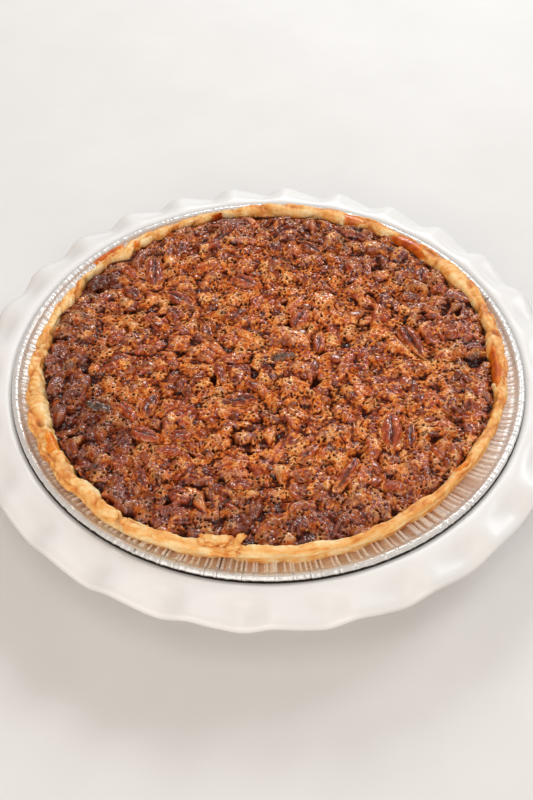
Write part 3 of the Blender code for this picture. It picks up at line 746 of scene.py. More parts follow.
def build_crust(finish):
    """Pastry band: the section carried round the pie, swollen by blisters and cut by breaks."""
    angle = (np.arange(CRUST_STEPS) * TURN / CRUST_STEPS)[None, :]
    share = np.arange(CRUST_ROWS) / CRUST_ROWS
    around = (TURN * (share - 0.10) - 0.55 * np.sin(TURN * share + 0.6))[:, None]
    radius, height = crust_section(angle, around)
    spacing = (0.62 * MM, TURN * 112 * MM / CRUST_STEPS)
    grid = (CRUST_ROWS, CRUST_STEPS)
    humps = billow(wave_noise(grid, spacing, (20 * MM, 27 * MM), 11))
    blister = billow(wave_noise(grid, spacing, (11 * MM, 13 * MM), 12))
    slow = wave_noise(grid, spacing, (12 * MM, 26 * MM), 16)
    flake = wave_noise(grid, spacing, (3 * MM, 16 * MM), 13)
    fine = wave_noise(grid, spacing, (2.2 * MM, 2.6 * MM), 14)
    knobs = billow(wave_noise(grid, spacing, (6.5 * MM, 6.0 * MM), 17))
    wrinkle = billow(wave_noise(grid, spacing, (9 * MM, 4.0 * MM), 18))
    puffed = np.maximum(smoothstep(-0.7, 0.6, np.cos(angle - math.radians(-105))),
                        smoothstep(0.55, 0.95, np.cos(angle - math.radians(112))))
    smooth_side = smoothstep(0.55, 0.95, np.cos(angle)) * smoothstep(-0.1, 0.6, np.cos(around))
    lively = (0.45 + 0.75 * puffed) * (1 - 0.75 * smooth_side)
    outer = smoothstep(0.0, 1.0, np.cos(around))
    crumpled = smoothstep(-0.2, 0.8, np.cos(angle - math.radians(178)))
    detail = (knobs - 0.72) * (1 - 0.6 * crumpled) + 0.8 * crumpled * (wrinkle - 0.72)
    swell = lively * (1.20 * (humps - 0.72) + 0.55 * (blister - 0.72)) + 0.20 * slow
    swell = swell + (0.10 + 0.90 * lively) * 0.38 * detail + 0.02 * outer * flake + 0.05 * fine
    cut = np.zeros(grid)
    for place, width, depth, cover in CRUST_BREAKS:
        near = np.exp(-np.abs(turn_from(angle, math.radians(place)) / math.radians(width)) ** 3)
        across = 1 - 2 * cover
        side = smoothstep(across - 0.35, across + 0.35, np.cos(around)) if cover else (
            np.exp(-((np.cos(around) - 0.15) / 0.28) ** 2))
        cut = np.maximum(cut, near * side * depth * (np.sin(around) > -0.6))
    wet = syrup_reach(angle, (1 + np.cos(around)) / 2) * (np.sin(around) > -0.2)
    ahead_radius, ahead_height = crust_section(angle, around + 0.01)
    along_r, along_z = ahead_radius - radius, ahead_height - height
    length = np.hypot(along_r, along_z)
    out_r, out_z = along_z / length, -along_r / length
    lift = (swell * (1 - 0.8 * np.sqrt(wet)) - cut - 1.2 * smoothstep(0, 0.5, wet)) * MM
    radius, height = radius + out_r * lift, np.minimum(height + out_z * lift, PIE_TOP)
    points = turned_points(radius, height, angle)
    spots = wave_noise(grid, spacing, (30 * MM, 17 * MM), 15)
    # The brown mark is real browning with painted light and shade in it. Painted light: the outer side at the front is
    # lighter.
    brown = 0.32 - 0.17 * smooth_side * (0.4 + 0.6 * outer)
    brown = brown + (0.11 - 0.06 * outer) * (1 - 0.6 * smooth_side) * spots
    # Painted light and shade: the tops of humps, blisters and knobs are lighter and the creases between them darker.
    brown = brown - 0.20 * (humps - 0.72) - 0.18 * (blister - 0.72)
    brown = brown - 0.22 * (0.2 + 0.8 * lively) * detail
    brown = brown + 0.01 * flake * outer - 0.04 * np.maximum(np.sin(around), 0) + 0.04 * slow + 0.13 * np.cos(around) * (np.sin(around) > -0.2)
    # Painted light: the lower outer wall at the front is lighter still.
    brown = brown - 0.20 * outer * smooth_side * smoothstep(0.6, -0.2, np.sin(around))
    # Painted shade: darker in the breaks. The sin(angle) term makes the band browner towards +X.
    brown = brown + 0.12 * smoothstep(0.3, 1.2, cut) + 0.05 * np.sin(angle)
    deep = smoothstep(0.78, 1.0, -np.cos(around) + 0.10 * spots)
    soak = np.maximum(0.40 * deep, smoothstep(0.0, 0.35, wet))
    # Painted shade: hollow darkens the breaks and the dips between the swellings.
    hollow = np.clip(0.5 * smoothstep(0.8, 2.2, cut) - 0.22 * (swell + 0.3), 0, 0.7)
    marks = {"brown": np.clip(brown, 0, 1), "soak": np.clip(soak, 0, 1), "wet": np.sqrt(wet), "hollow": hollow}
    faces = [grid_faces(CRUST_ROWS, CRUST_STEPS, wrap_rows=True, wrap_columns=True)]
    return add_piece("pastry_band", points.reshape(-1, 3), faces, finish, "crust", marks)


def lens_faces(rows, columns, start):
    """Faces of a closed lens: a top grid, a bottom grid after it and the wall that joins them."""
    size = rows * columns
    loop = grid_edge(rows, columns) + start
    after = np.roll(loop, -1)
    return [
        grid_faces(rows, columns, start=start, flip=True),
        grid_faces(rows, columns, start=start + size),
        np.stack([loop, after, after + size, loop + size], axis=1),
    ]


def grid_edge(rows, columns):
    """Indices round the edge of a grid: along its first row, up its last column, and back."""
    return np.concatenate([
        np.arange(columns - 1), np.arange(rows - 1) * columns + columns - 1,
        (rows - 1) * columns + np.arange(columns - 1, 0, -1), np.arange(rows - 1, 0, -1) * columns,
    ])


def build_syrup(finish):
    """Runs of syrup: lenses laid on the band's skin, thick in the middle and sunk in at the edge."""
    points, faces, thick_mark = [], [], []
    rows, columns = 40, 64
    for place, width, inside, outside, thick in SYRUP_RUNS:
        across = np.linspace(-1.02, 1.02, columns)[None, :]
        along = np.linspace(-1.02, 1.02, rows)[:, None]
        angle = math.radians(place) + math.radians(width) * across
        share = (inside + outside) / 2 + (outside - inside) / 2 * along
        around = np.arccos(np.clip(2 * share - 1, -0.98, 0.98)) + np.minimum(share, 0) * -1.5
        radius, height = crust_section(angle, around)
        ahead_r, ahead_z = crust_section(angle, around + 0.01)
        length = np.hypot(ahead_r - radius, ahead_z - height)
        out_r, out_z = (ahead_z - height) / length, -(ahead_r - radius) / length
        reach = syrup_reach(angle, share)
        top = MM * 0.45 * np.sqrt(reach) - SYRUP_SINK - 0.5 * MM * (reach <= 0)
        for lift in (top, np.full_like(top, -2.2 * MM)):
            layer = turned_points(radius + out_r * lift, np.minimum(height + out_z * lift, PIE_TOP), angle)
            points.append(layer.reshape(-1, 3))
            thick_mark.append((thick * np.sqrt(reach)).ravel())
        faces += lens_faces(rows, columns, len(points[0]) * (len(points) - 2))
    return add_piece("syrup_runs", np.vstack(points), faces, finish,
                     marks={"depth": np.concatenate(thick_mark)})


def build_stain(finish):
    """Thin baked-on syrup on the tin's flange at the back left: a lens that follows the flange."""
    rows, columns = 16, 64
    across = np.linspace(-1, 1, columns)[None, :]
    along = np.linspace(-1, 1, rows)[:, None]
    angle = math.radians(-135.5) + math.radians(4.6) * across
    path = tin_outline()
    radius = TIN_RADIUS - 5.3 * MM + 3.3 * MM * along * (1 + 0.05 * np.sin(9 * across))
    height = np.interp(radius, path[3:13, 0], path[3:13, 1]) + 0.75 * MM
    reach = np.clip(1 - np.maximum(np.abs(across) ** 8, np.abs(along) ** 6), 0, 1)
    top = height + MM * (0.45 * np.sqrt(reach) + 0.03 * np.sin(60 * across))
    points = [turned_points(radius, level, angle).reshape(-1, 3) for level in (top, height - 1.2 * MM)]
    faces = lens_faces(rows, columns, 0)
    depth = np.full(2 * rows * columns, 0.42)
    return add_piece("syrup_on_tin", np.vstack(points), faces, finish, marks={"depth": depth})


FLAKES = (
    # Angle in degrees, radius in mm, height over the rim in mm, length, width, heading and tilt in degrees.
    (-11.8, 108.6, 7.1, 12.5, 5.4, 8, -8),
    (-13.9, 110.2, 7.0, 9.0, 4.6, -14, 6),
    (-9.6, 109.3, 6.7, 8.0, 4.2, 22, -10),
    (-7.0, 107.4, 7.0, 7.5, 3.6, 62, 38),
    (-8.0, 110.9, 6.6, 7.0, 3.4, 30, 12),
    (-10.4, 112.3, 5.2, 14.0, 3.0, -2, 20),
    (-9.8, 113.2, 3.9, 13.0, 2.6, 1, 24),
    (-12.2, 113.0, 2.9, 9.0, 2.4, -3, 18),
    (-27.4, 113.0, 5.4, 6.0, 3.0, -30, 20),
    (-33.2, 113.6, 5.2, 5.0, 2.6, 40, 24),
    (-36.0, 114.0, 5.6, 4.5, 2.6, -20, 20),
)


def build_flakes(finish):
    """Broken pastry layers: thin curled plates with ragged outlines, each a top and bottom sheet."""
    rows, columns = 18, 26
    points, faces, brown = [], [], []
    across, along = np.meshgrid(np.linspace(-1, 1, columns), np.linspace(-1, 1, rows))
    reach = np.maximum(np.abs(across), np.abs(along))
    round_x = across * np.sqrt(np.clip(1 - along ** 2 * 0.32, 0, 1))
    round_y = along * np.sqrt(np.clip(1 - across ** 2 * 0.32, 0, 1))
    for index, (place, radius, height, length, width, heading, tilt) in enumerate(FLAKES):
        around = np.arctan2(round_y, round_x)
        ragged = 1 + reach ** 2 * (0.10 * np.sin(3 * around + index) + 0.07 * np.sin(7 * around + 2 * index)
                                   + 0.05 * np.sin(13 * around + 3 * index))
        x, y = round_x * length / 2 * ragged, round_y * width / 2 * ragged
        curl = 0.020 * x ** 2 + 0.04 * y ** 2 * math.sin(index) + 0.12 * np.sin(1.1 * x + index)
        thick = 0.34 * np.sqrt(np.clip(1 - reach ** 6, 0, 1)) + 0.05
        turn = math.radians(heading + place)
        lean = math.radians(tilt)
        angle = math.radians(place)
        for side in (1, -1):
            z = curl + side * thick
            upper, ahead = z * math.cos(lean) + y * math.sin(lean), y * math.cos(lean) - z * math.sin(lean)
            sheet = np.stack([
                radius * math.sin(angle) + x * math.cos(turn) - ahead * math.sin(turn),
                -radius * math.cos(angle) + x * math.sin(turn) + ahead * math.cos(turn),
                RIM / MM + height + upper,
            ], axis=-1) * MM
            sheet[..., 2] = np.minimum(sheet[..., 2], PIE_TOP)
            points.append(sheet.reshape(-1, 3))
            brown.append((0.30 + 0.30 * reach ** 4 + 0.10 * np.sin(1.3 * x + index)).ravel())
        faces += [block[:, ::-1] for block in lens_faces(rows, columns, len(points[0]) * (len(points) - 2))]
    values = np.concatenate(brown)
    marks = {"brown": values, "soak": 0 * values, "wet": 0 * values, "hollow": 0 * values}
    return add_piece("pastry_flakes", np.vstack(points), faces, finish, marks=marks)


# ---------------------------------------------------------------- filling

RASTER = 768
RASTER_STEP = 0.3 * MM
RASTER_HALF = RASTER * RASTER_STEP / 2
FILLING_LEVEL = 3.6 * MM
LUMPS = 330
PORES = 13000
NAMED_LUMPS = (
    # x, y, half length, half width in mm, heading in degrees, rise in mm, tone, share left bare
    (-69, 62, 7.0, 3.6, 70, 2.6, 0.55, 0.8), (-43, 80, 7.5, 3.2, 120, 2.4, 0.5, 0.8),
    (-85, 55, 5.5, 4.5, 60, 3.0, 0.05, 1.0), (-78, 58, 4.5, 3.6, 0, 2.6, 0.05, 1.0),
    (-67, 47, 6.0, 4.0, 10, 2.4, 0.4, 0.5), (-45, 55, 6.5, 5.0, 20, 2.8, 0.5, 0.2),
    (-43, 44, 6.5, 3.4, -25, 2.4, 0.5, 0.8), (-45, 31, 6.0, 4.4, 10, 2.6, 0.3, 0.5),
    (-40, 21, 5.0, 3.4, 40, 2.0, 0.4, 0.5), (-29, 22, 6.0, 3.6, 100, 2.6, 0.4, 0.9),
    (-15, 30, 7.0, 3.2, 35, 2.4, 0.5, 0.6), (-26, 37, 4.5, 4.0, 0, 2.6, 0.15, 0.9),
    (-6, 27, 5.5, 3.8, 0, 2.6, 0.6, 0.9), (-10, 56, 7.0, 4.6, 10, 2.6, 0.55, 0.5),
    (-13, 66, 6.0, 3.4, 20, 2.2, 0.5, 0.5), (-70, 18, 8.0, 3.0, 40, 2.6, 0.5, 0.7),
    (-65, 13, 5.5, 4.2, 0, 2.6, 0.2, 0.7), (-13, 84, 7.0, 3.4, 10, 2.4, 0.7, 0.5),
    (-33, 91, 6.5, 3.2, 20, 2.2, 0.5, 0.6), (25, 13, 7.0, 3.6, 80, 2.8, 0.6, 0.8),
    (23, 81, 5.0, 4.4, 0, 2.4, 0.4, 0.6), (4, 79, 6.5, 3.4, 150, 2.4, 0.5, 0.5),
    (17, 95, 7.0, 3.6, 10, 2.4, 0.5, 0.7), (80, 66, 6.5, 5.0, 20, 3.2, 0.3, 0.9),
    (84, 55, 6.5, 4.4, 60, 2.8, 0.7, 0.4), (85, 42, 7.5, 5.0, 10, 2.6, 0.5, 0.2),
    (72, 43, 7.0, 3.6, 170, 1.8, 0.3, 0.9), (69, 13, 9.5, 4.8, 110, 3.2, 0.35, 0.7),
    (94, 31, 7.0, 4.2, 60, 2.8, 0.2, 0.6), (98, 20, 5.5, 4.0, 90, 2.6, 0.5, 0.5),
    (47, 47, 8.0, 3.8, -15, 2.4, 0.55, 0.4), (15, 58, 7.0, 3.6, -40, 2.2, 0.5, 0.4),
    (5, 48, 6.0, 3.4, 30, 2.2, 0.5, 0.5), (43, 82, 7.0, 3.6, 30, 2.2, 0.5, 0.5),
    (45, 94, 6.5, 3.2, -20, 2.2, 0.5, 0.6), (12, 14, 8.0, 5.5, 150, 3.0, 0.6, 0.35),
    (33, 48, 5.5, 3.6, 90, 2.2, 0.5, 0.4), (-23, -10, 6.5, 2.8, 100, 2.8, 0.7, 0.9),
    (-12, -24, 8.5, 4.2, 8, 2.8, 0.5, 0.7), (-54, -27, 7.0, 4.4, 80, 2.8, 0.25, 0.6),
    (-64, -30, 7.5, 3.2, 140, 2.4, 0.3, 0.6), (-55, -46, 7.5, 3.2, -20, 2.6, 0.15, 0.9),
    (-40, -47, 6.5, 3.4, 0, 2.6, 0.2, 0.9), (-65, -48, 5.5, 4.2, 20, 2.8, 0.1, 0.8),
    (-45, -56, 9.0, 3.4, -10, 2.4, 0.4, 0.8), (-56, -71, 7.5, 5.0, 60, 3.0, 0.35, 0.6),
    (-66, -62, 7.0, 3.8, 60, 2.6, 0.7, 0.8), (-44, -66, 6.0, 4.0, 40, 2.4, 0.4, 0.5),
    (-16, -65, 8.0, 4.0, 0, 2.6, 0.7, 0.8), (-12, -75, 7.5, 4.2, -10, 2.8, 0.35, 0.9),
    (-24, -82, 7.0, 3.4, -30, 2.6, 0.3, 0.9), (-6, -88, 6.0, 4.0, 80, 2.6, 0.2, 0.9),
    (-34, -66, 6.0, 3.2, 60, 2.4, 0.4, 0.7), (-28, -34, 6.5, 3.6, 40, 2.4, 0.5, 0.5),
    (62, -47, 7.0, 3.0, 85, 2.6, 0.3, 0.9), (25, -20, 5.5, 3.4, 60, 2.4, 0.4, 0.6),
    (37, -4, 7.5, 3.2, 70, 2.6, 0.45, 0.8), (44, -13, 6.0, 4.0, 20, 2.4, 0.3, 0.6),
    (66, -25, 6.0, 3.6, 40, 2.4, 0.75, 0.8), (71, -4, 6.0, 3.6, 20, 2.4, 0.6, 0.7),
    (55, -77, 7.5, 3.6, 20, 2.4, 0.4, 0.7), (35, -69, 10.5, 3.0, 40, 2.6, 0.55, 0.8),
    (18, -57, 8.0, 4.5, 50, 2.6, 0.6, 0.3), (15, -70, 6.5, 3.4, 20, 2.2, 0.4, 0.6),
    (24, -83, 6.0, 3.8, -30, 2.4, 0.3, 0.8), (33, -95, 7.0, 3.6, 50, 2.6, 0.15, 1.0),
    (13, -97, 6.5, 3.4, 60, 2.6, 0.15, 1.0), (85, -22, 7.5, 3.4, 110, 2.6, 0.4, 0.6),
    (76, -42, 6.5, 4.4, 30, 2.6, 0.5, 0.4), (84, -57, 5.5, 4.0, 80, 2.4, 0.5, 0.6),
    (3, -38, 7.0, 3.6, -20, 2.4, 0.15, 0.7), (29, -56, 6.0, 3.4, 30, 2.4, 0.45, 0.7),
)
DARK_HOLES = (
    # x, y, half length, half width in mm, heading in degrees, depth in mm
    (-47, 41, 2.6, 1.9, 80, 4.5), (-52, 30, 2.2, 1.3, 40, 3.0), (-84, 50, 2.2, 1.7, 80, 3.5),
    (11, 24, 2.8, 1.8, 70, 4.0), (17.5, 19, 2.8, 1.9, 60, 4.5), (93, 30, 2.6, 1.6, 60, 4.0),
    (-25.5, -12, 3.2, 1.4, 85, 4.0), (22, -15, 3.6, 1.5, 80, 4.0), (-89, -47, 2.8, 1.9, 10, 4.0),
    (99, -1, 5.0, 3.2, 20, 4.0), (48, 92, 3.0, 2.4, 30, 3.0), (-87, -7, 1.8, 1.4, 0, 3.0),
    (-44, -85, 1.3, 1.3, 0, 3.0), (26, 4, 2.0, 0.9, 40, 3.0), (39, -60, 2.2, 0.9, 50, 3.0),
    (-20, -28, 2.0, 1.0, 70, 3.0), (60, -43, 3.6, 1.0, 84, 3.0), (51, 44, 2.2, 1.0, -40, 2.5),
    (8, 38, 1.8, 1.4, 0, 2.5), (76, 30, 2.0, 0.9, 20, 2.5), (-8, -58, 2.2, 1.0, 10, 2.5),
    (-36, -58, 2.4, 1.0, 150, 3.0), (70, 4, 2.4, 1.0, 120, 2.5), (-60, 33, 1.8, 1.0, 20, 2.5),
)
SCORCHED = (
    # x, y and radius in mm, strength
    (-92, 0, 18, 0.50), (-80, -48, 22, 0.55), (-60, -84, 18, 0.50), (48, 68, 20, 0.45), (86, 30, 16, 0.30),
    (30, -96, 22, 0.45), (-86, 56, 11, 1.00), (16, 98, 26, 0.35), (-30, 98, 16, 0.40), (95, 2, 12, 0.5),
    (70, -74, 16, 0.35), (-10, -96, 22, 0.50), (-96, -30, 16, 0.50), (-66, 76, 12, 0.35), (78, 56, 14, 0.35),
    (-66, -46, 10, 0.45), (-77, -28, 10, 0.45), (-92, 24, 16, 0.30),
)


def raster_axes():
    """x and y of the raster's points: columns run along x and rows along y."""
    line = (np.arange(RASTER) + 0.5) * RASTER_STEP - RASTER_HALF
    return line[None, :], line[:, None]


def field_noise(size, seed):
    """Random field over the pie with features about size across."""
    return wave_noise((RASTER, RASTER), (RASTER_STEP, RASTER_STEP), (size, size), seed)


def blur(field, size):
    """Field smoothed by a bell curve of the given size."""
    across = np.fft.fftfreq(RASTER, RASTER_STEP)[:, None]
    along = np.fft.rfftfreq(RASTER, RASTER_STEP)[None, :]
    bell = np.exp(-2 * (math.pi * size) ** 2 * (across ** 2 + along ** 2))
    return np.fft.irfft2(np.fft.rfft2(field) * bell, field.shape)


def window(x, y, reach):
    """Slices of the raster within reach of a place, and x and y there, counted from the place."""
    axis_x, axis_y = raster_axes()
    low = [max(0, int((value + RASTER_HALF - reach) / RASTER_STEP)) for value in (y, x)]
    high = [min(RASTER, int((value + RASTER_HALF + reach) / RASTER_STEP) + 1) for value in (y, x)]
    rows, columns = slice(low[0], high[0]), slice(low[1], high[1])
    return (rows, columns), axis_x[:, columns] - x, axis_y[rows] - y


def read_field(field, x, y):
    """Field read at any places, straight between its points."""
    column = np.clip((x + RASTER_HALF) / RASTER_STEP - 0.5, 0, RASTER - 1.001)
    row = np.clip((y + RASTER_HALF) / RASTER_STEP - 0.5, 0, RASTER - 1.001)
    left, low = column.astype(int), row.astype(int)
    right, up = column - left, row - low
    return ((field[low, left] * (1 - right) + field[low, left + 1] * right) * (1 - up)
            + (field[low + 1, left] * (1 - right) + field[low + 1, left + 1] * right) * up)


def pecan_frame(name):
    """Centre, heading and half sizes of a pecan, from the spread of its solid's corners."""
    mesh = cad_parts[name].data
    corners = np.empty(len(mesh.vertices) * 3, np.float32)
    mesh.vertices.foreach_get("co", corners)
    corners = corners.reshape(-1, 3).astype(float)
    middle = corners.mean(axis=0)
    _, _, axes = np.linalg.svd(corners - middle, full_matrices=False)
    along = axes[0] if axes[0][0] * 1.0 + axes[0][1] * 0.01 > 0 else -axes[0]
    flat = axes[1] - axes[1] @ np.array([0, 0, 1.0]) * np.array([0, 0, 0.0])
    up = np.cross(along, flat)
    up = up if up[2] > 0 else -up
    across = np.cross(up, along)
    basis = np.stack([along, across, up])
    local = (corners - middle) @ basis.T
    low, high = local.min(axis=0), local.max(axis=0)
    return middle + ((low + high) / 2) @ basis, basis, (high - low) / 2


def lump_list(random):
    """The named lumps and, round them, random ones: place, half sizes, heading, rise, tone, bare."""
    for x, y, half_length, half_width, heading, rise, tone, bare in NAMED_LUMPS:
        yield x * MM, y * MM, half_length * MM, half_width * MM, math.radians(heading), rise * MM, tone, bare
    for _ in range(LUMPS):
        reach = 105 * MM * math.sqrt(random.random())
        turn = random.uniform(0, TURN)
        half_length = random.uniform(3.2, 8.5) * MM
        half_width = half_length * random.uniform(0.42, 0.80)
        rise = random.uniform(1.4, 3.6) * MM * min(1.0, half_width / (2.6 * MM) + 0.25)
        yield (reach * math.sin(turn), reach * math.cos(turn), half_length, half_width,
               random.uniform(0, math.pi), rise, random.uniform(0.1, 0.80), random.random() ** 0.62)


def press_lumps(height, random):
    """Raise the lumps of chopped nut on the height field.

    Each is a flat-topped bump with a steep, uneven outline, a slanting top and ridges along it; the
    higher of lump and ground is kept.  Returns where nut lies, its tone and how bare it is.
    """
    base = height.copy()
    nut, tone, bare = np.zeros_like(height), np.full_like(height, 0.5), np.zeros_like(height)
    for x, y, half_length, half_width, heading, rise, own_tone, own_bare in lump_list(random):
        ripple = random.uniform(0, TURN, 5)
        lean = random.uniform(-0.45, 0.45, 2)
        spot, dx, dy = window(x, y, half_length * 1.4)
        along = (dx * math.cos(heading) + dy * math.sin(heading)) / half_length
        across = (-dx * math.sin(heading) + dy * math.cos(heading)) / half_width
        across = across + 0.25 * math.sin(ripple[4]) * (along ** 2 - 0.4)
        around = np.arctan2(across, along)
        out = np.hypot(along, across) * (1 + 0.15 * np.sin(2 * around + ripple[0])
                                         + 0.11 * np.sin(3 * around + ripple[1])
                                         + 0.07 * np.sin(5 * around + ripple[2]))
        dome = np.clip(1 - out ** 3.0, 0, 1) ** 0.5
        pitch = 1.0 * MM + 0.12 * half_width
        ridges = np.abs(np.sin(across * half_width / pitch * math.pi / 2 + 0.5 * np.sin(3 * along + ripple[3])))
        bump = rise * dome * (1 + lean[0] * along + lean[1] * across) + 0.50 * MM * (ridges - 0.8) * dome
        ground = float(read_field(base, np.array(x), np.array(y)))
        raised = ground + bump - 0.30 * rise
        gain = raised - height[spot]
        wins = gain > 0
        height[spot] = np.where(wins, raised, height[spot])
        nut[spot] = np.where(wins, smoothstep(0, 0.35 * MM, gain), nut[spot] * 0.96)
        tone[spot] = np.where(wins, own_tone + 0.25 * (ridges - 0.6), tone[spot])
        bare[spot] = np.where(wins, own_bare, bare[spot])
    return nut, tone, bare


def seat_pecans(height, nut):
    """Shape the filling round each pecan: a collar that laps up its side, and a bed under it."""
    for name in PECANS:
        centre, basis, half = pecan_frame(name)
        spot, dx, dy = window(centre[0], centre[1], half[0] * 1.9)
        flat = basis[0][:2] / np.linalg.norm(basis[0][:2])
        along = (dx * flat[0] + dy * flat[1]) / half[0]
        across = (-dx * flat[1] + dy * flat[0]) / half[1]
        out = np.hypot(along, across)
        collar = centre[2] - 0.35 * half[2] + half[2] * 0.5 * np.exp(-((out - 1.0) / 0.25) ** 2)
        share = smoothstep(1.6, 1.05, out)
        height[spot] = height[spot] * (1 - share) + (collar + 0.35 * (height[spot] - RIM - 5 * MM)) * share
        under = centre[2] + 0.72 * half[2] * np.sqrt(np.clip(1 - out ** 2, 0, 1)) - 0.5 * MM
        height[spot] = np.where(out < 0.93, np.minimum(height[spot], under), height[spot])
        nut[spot] *= 1 - smoothstep(1.5, 1.1, out)


def dig_pores(height, foam, edge, random):
    """Burst bubbles in the foam: small round pits with a faint raised rim, crowded in clumps."""
    pore, rim = np.zeros_like(height), np.zeros_like(height)
    clump = field_noise(15 * MM, 31)
    for _ in range(PORES):
        turn = random.uniform(0, TURN)
        reach = edge * math.sqrt(random.random())
        x, y = reach * math.sin(turn), -reach * math.cos(turn)
        size = (0.24 + 0.36 * random.random() ** 2.2) * MM
        column, row = int((x + RASTER_HALF) / RASTER_STEP), int((y + RASTER_HALF) / RASTER_STEP)
        if random.random() > foam[row, column] * (0.72 + 0.28 * clump[row, column]):
            continue
        spot, dx, dy = window(x, y, size * 3.0)
        away = np.hypot(dx, dy) / size
        pit = np.exp(-(away / 1.1) ** 3)
        ring = np.exp(-((away - 1.65) / 0.5) ** 2)
        height[spot] += MM * (-1.0 * (0.35 + size / MM) * pit + 0.10 * ring)
        pore[spot] = np.maximum(pore[spot], pit)
        rim[spot] = np.maximum(rim[spot], ring)
    for x, y, half_length, half_width, heading, depth in DARK_HOLES:
        spot, dx, dy = window(x * MM, y * MM, 3 * half_length * MM)
        turn = math.radians(heading)
        along = (dx * math.cos(turn) + dy * math.sin(turn)) / (half_length * MM)
        across = (-dx * math.sin(turn) + dy * math.cos(turn)) / (half_width * MM)
        around = np.arctan2(across, along)
        pit = np.exp(-(np.hypot(along, across) * (1 + 0.25 * np.sin(3 * around + x) + 0.1 * np.sin(5 * around))) ** 3)
        height[spot] -= 0.8 * depth * MM * pit
        pore[spot] = np.maximum(pore[spot], 1.1 * pit)
    return pore, rim


def build_fields():
    """Height of the filling's top and the marks on it, as rasters.

    A low dome with slow waves carries the lumps of nut.  Foam, the blurred height plus a thin
    sponge, hides part of them; crevices follow the zero lines of a noise field; pores are dug last.
    """
    random = np.random.default_rng(71)
    axis_x, axis_y = raster_axes()
    distance = np.hypot(axis_x, axis_y)
    angle = np.arctan2(axis_x + 0 * axis_y, -axis_y + 0 * axis_x)
    inside = crust_inner(angle) - distance
    height = RIM + FILLING_LEVEL + 1.6 * MM * (1 - (distance / (112 * MM)) ** 4)
    height = height + MM * (0.45 * field_noise(28 * MM, 21) + 0.80 * field_noise(12 * MM, 22))
    nut, tone, bare = press_lumps(height, random)
    seat_pecans(height, nut)
    height = height - 1.3 * MM * np.exp(-(inside / (2.0 * MM)) ** 2)
    cover = 0.75 * field_noise(8 * MM, 32) + 0.75 * field_noise(3.0 * MM, 33)
    coat = smoothstep(-0.9, 0.9, cover + 1.15 - 2.4 * bare)
    drape = blur(height, 1.15 * MM) + MM * (0.28 + 0.10 * field_noise(4.5 * MM, 35))
    height = height + coat * (drape - height)
    skin = nut * (1 - coat)
    foam = 1 - skin
    height = height + MM * (0.11 * foam * field_noise(2.6 * MM, 34) + 0.10 * skin * field_noise(1.5 * MM, 36)
                            + 0.035 * foam * field_noise(1.2 * MM, 39))
    crack = smoothstep(0.72, 1.0, 1 - np.abs(field_noise(10 * MM, 37))) * smoothstep(-0.3, 0.8, field_noise(17 * MM, 38))
    height = height - 0.8 * MM * crack * (0.35 + 0.65 * foam)
    pore, rim = dig_pores(height, foam, 106.5 * MM, random)
    small = (blur(height, 0.7 * MM) - height) / MM
    large = (blur(height, 2.8 * MM) - height) / MM
    # Painted shade: hollow darkens the pores, the dug holes, the dips below their surroundings and the cracks.
    hollow = 0.95 * pore + 0.45 * np.clip(small, 0, 1) + 1.15 * np.clip(large - 0.08, 0, 1.2) + 0.12 * crack
    # Painted light: crest is high on raised places and on the rims of pores. It lightens the colour there and also adds
    # gloss.
    crest = np.clip(0.45 * rim - 1.1 * small - 0.55 * large, -0.8, 1.2)
    scorch = 0.04 + 0.16 * field_noise(9 * MM, 41) + 0.20 * smoothstep(76 * MM, 106 * MM, distance)
    scorch = scorch + 0.10 * np.clip(-axis_x / (100 * MM), -0.3, 1)
    for x, y, size, strength in SCORCHED:
        away = np.hypot(axis_x - x * MM, axis_y - y * MM) / (size * MM)
        scorch = scorch + 0.75 * strength * np.exp(-away ** 2)
    film = 0.55 * field_noise(2.6 * MM, 42) + 0.55 * field_noise(8 * MM, 43) + 0.50 * skin
    film = film + 0.65 * smoothstep(70 * MM, 104 * MM, distance) + 0.8 * np.clip(crest, 0, 1)
    wet = smoothstep(0.30, 0.85, film - 1.2 * np.clip(hollow, 0, 1))
    height = np.minimum(height, PIE_TOP - 0.3 * MM)
    gleam = height + MM * (0.070 * field_noise(1.2 * MM, 51) + 0.07 * field_noise(2.1 * MM, 52))
    return {
        "height": height, "gleam": gleam, "skin": np.clip(skin, 0, 1), "tone": tone, "hollow": np.clip(hollow, 0, 0.96),
        "crest": crest, "scorch": np.clip(scorch, 0, 0.9), "wet": np.clip(wet, 0, 1),
    }


def disc_place(u, v):
    """Place in the unit disc of a place in the unit square: rings of the square become rings of
    the disc, with even cells."""
    wide = np.abs(u) >= np.abs(v)
    safe_u, safe_v = np.where(u == 0, 1e-9, u), np.where(v == 0, 1e-9, v)
    turn = np.where(wide, math.pi / 4 * v / safe_u, math.pi / 2 - math.pi / 4 * u / safe_v)
    reach = np.where(wide, u, v)
    return reach * np.cos(turn), reach * np.sin(turn)


FILLING_CELLS = 296


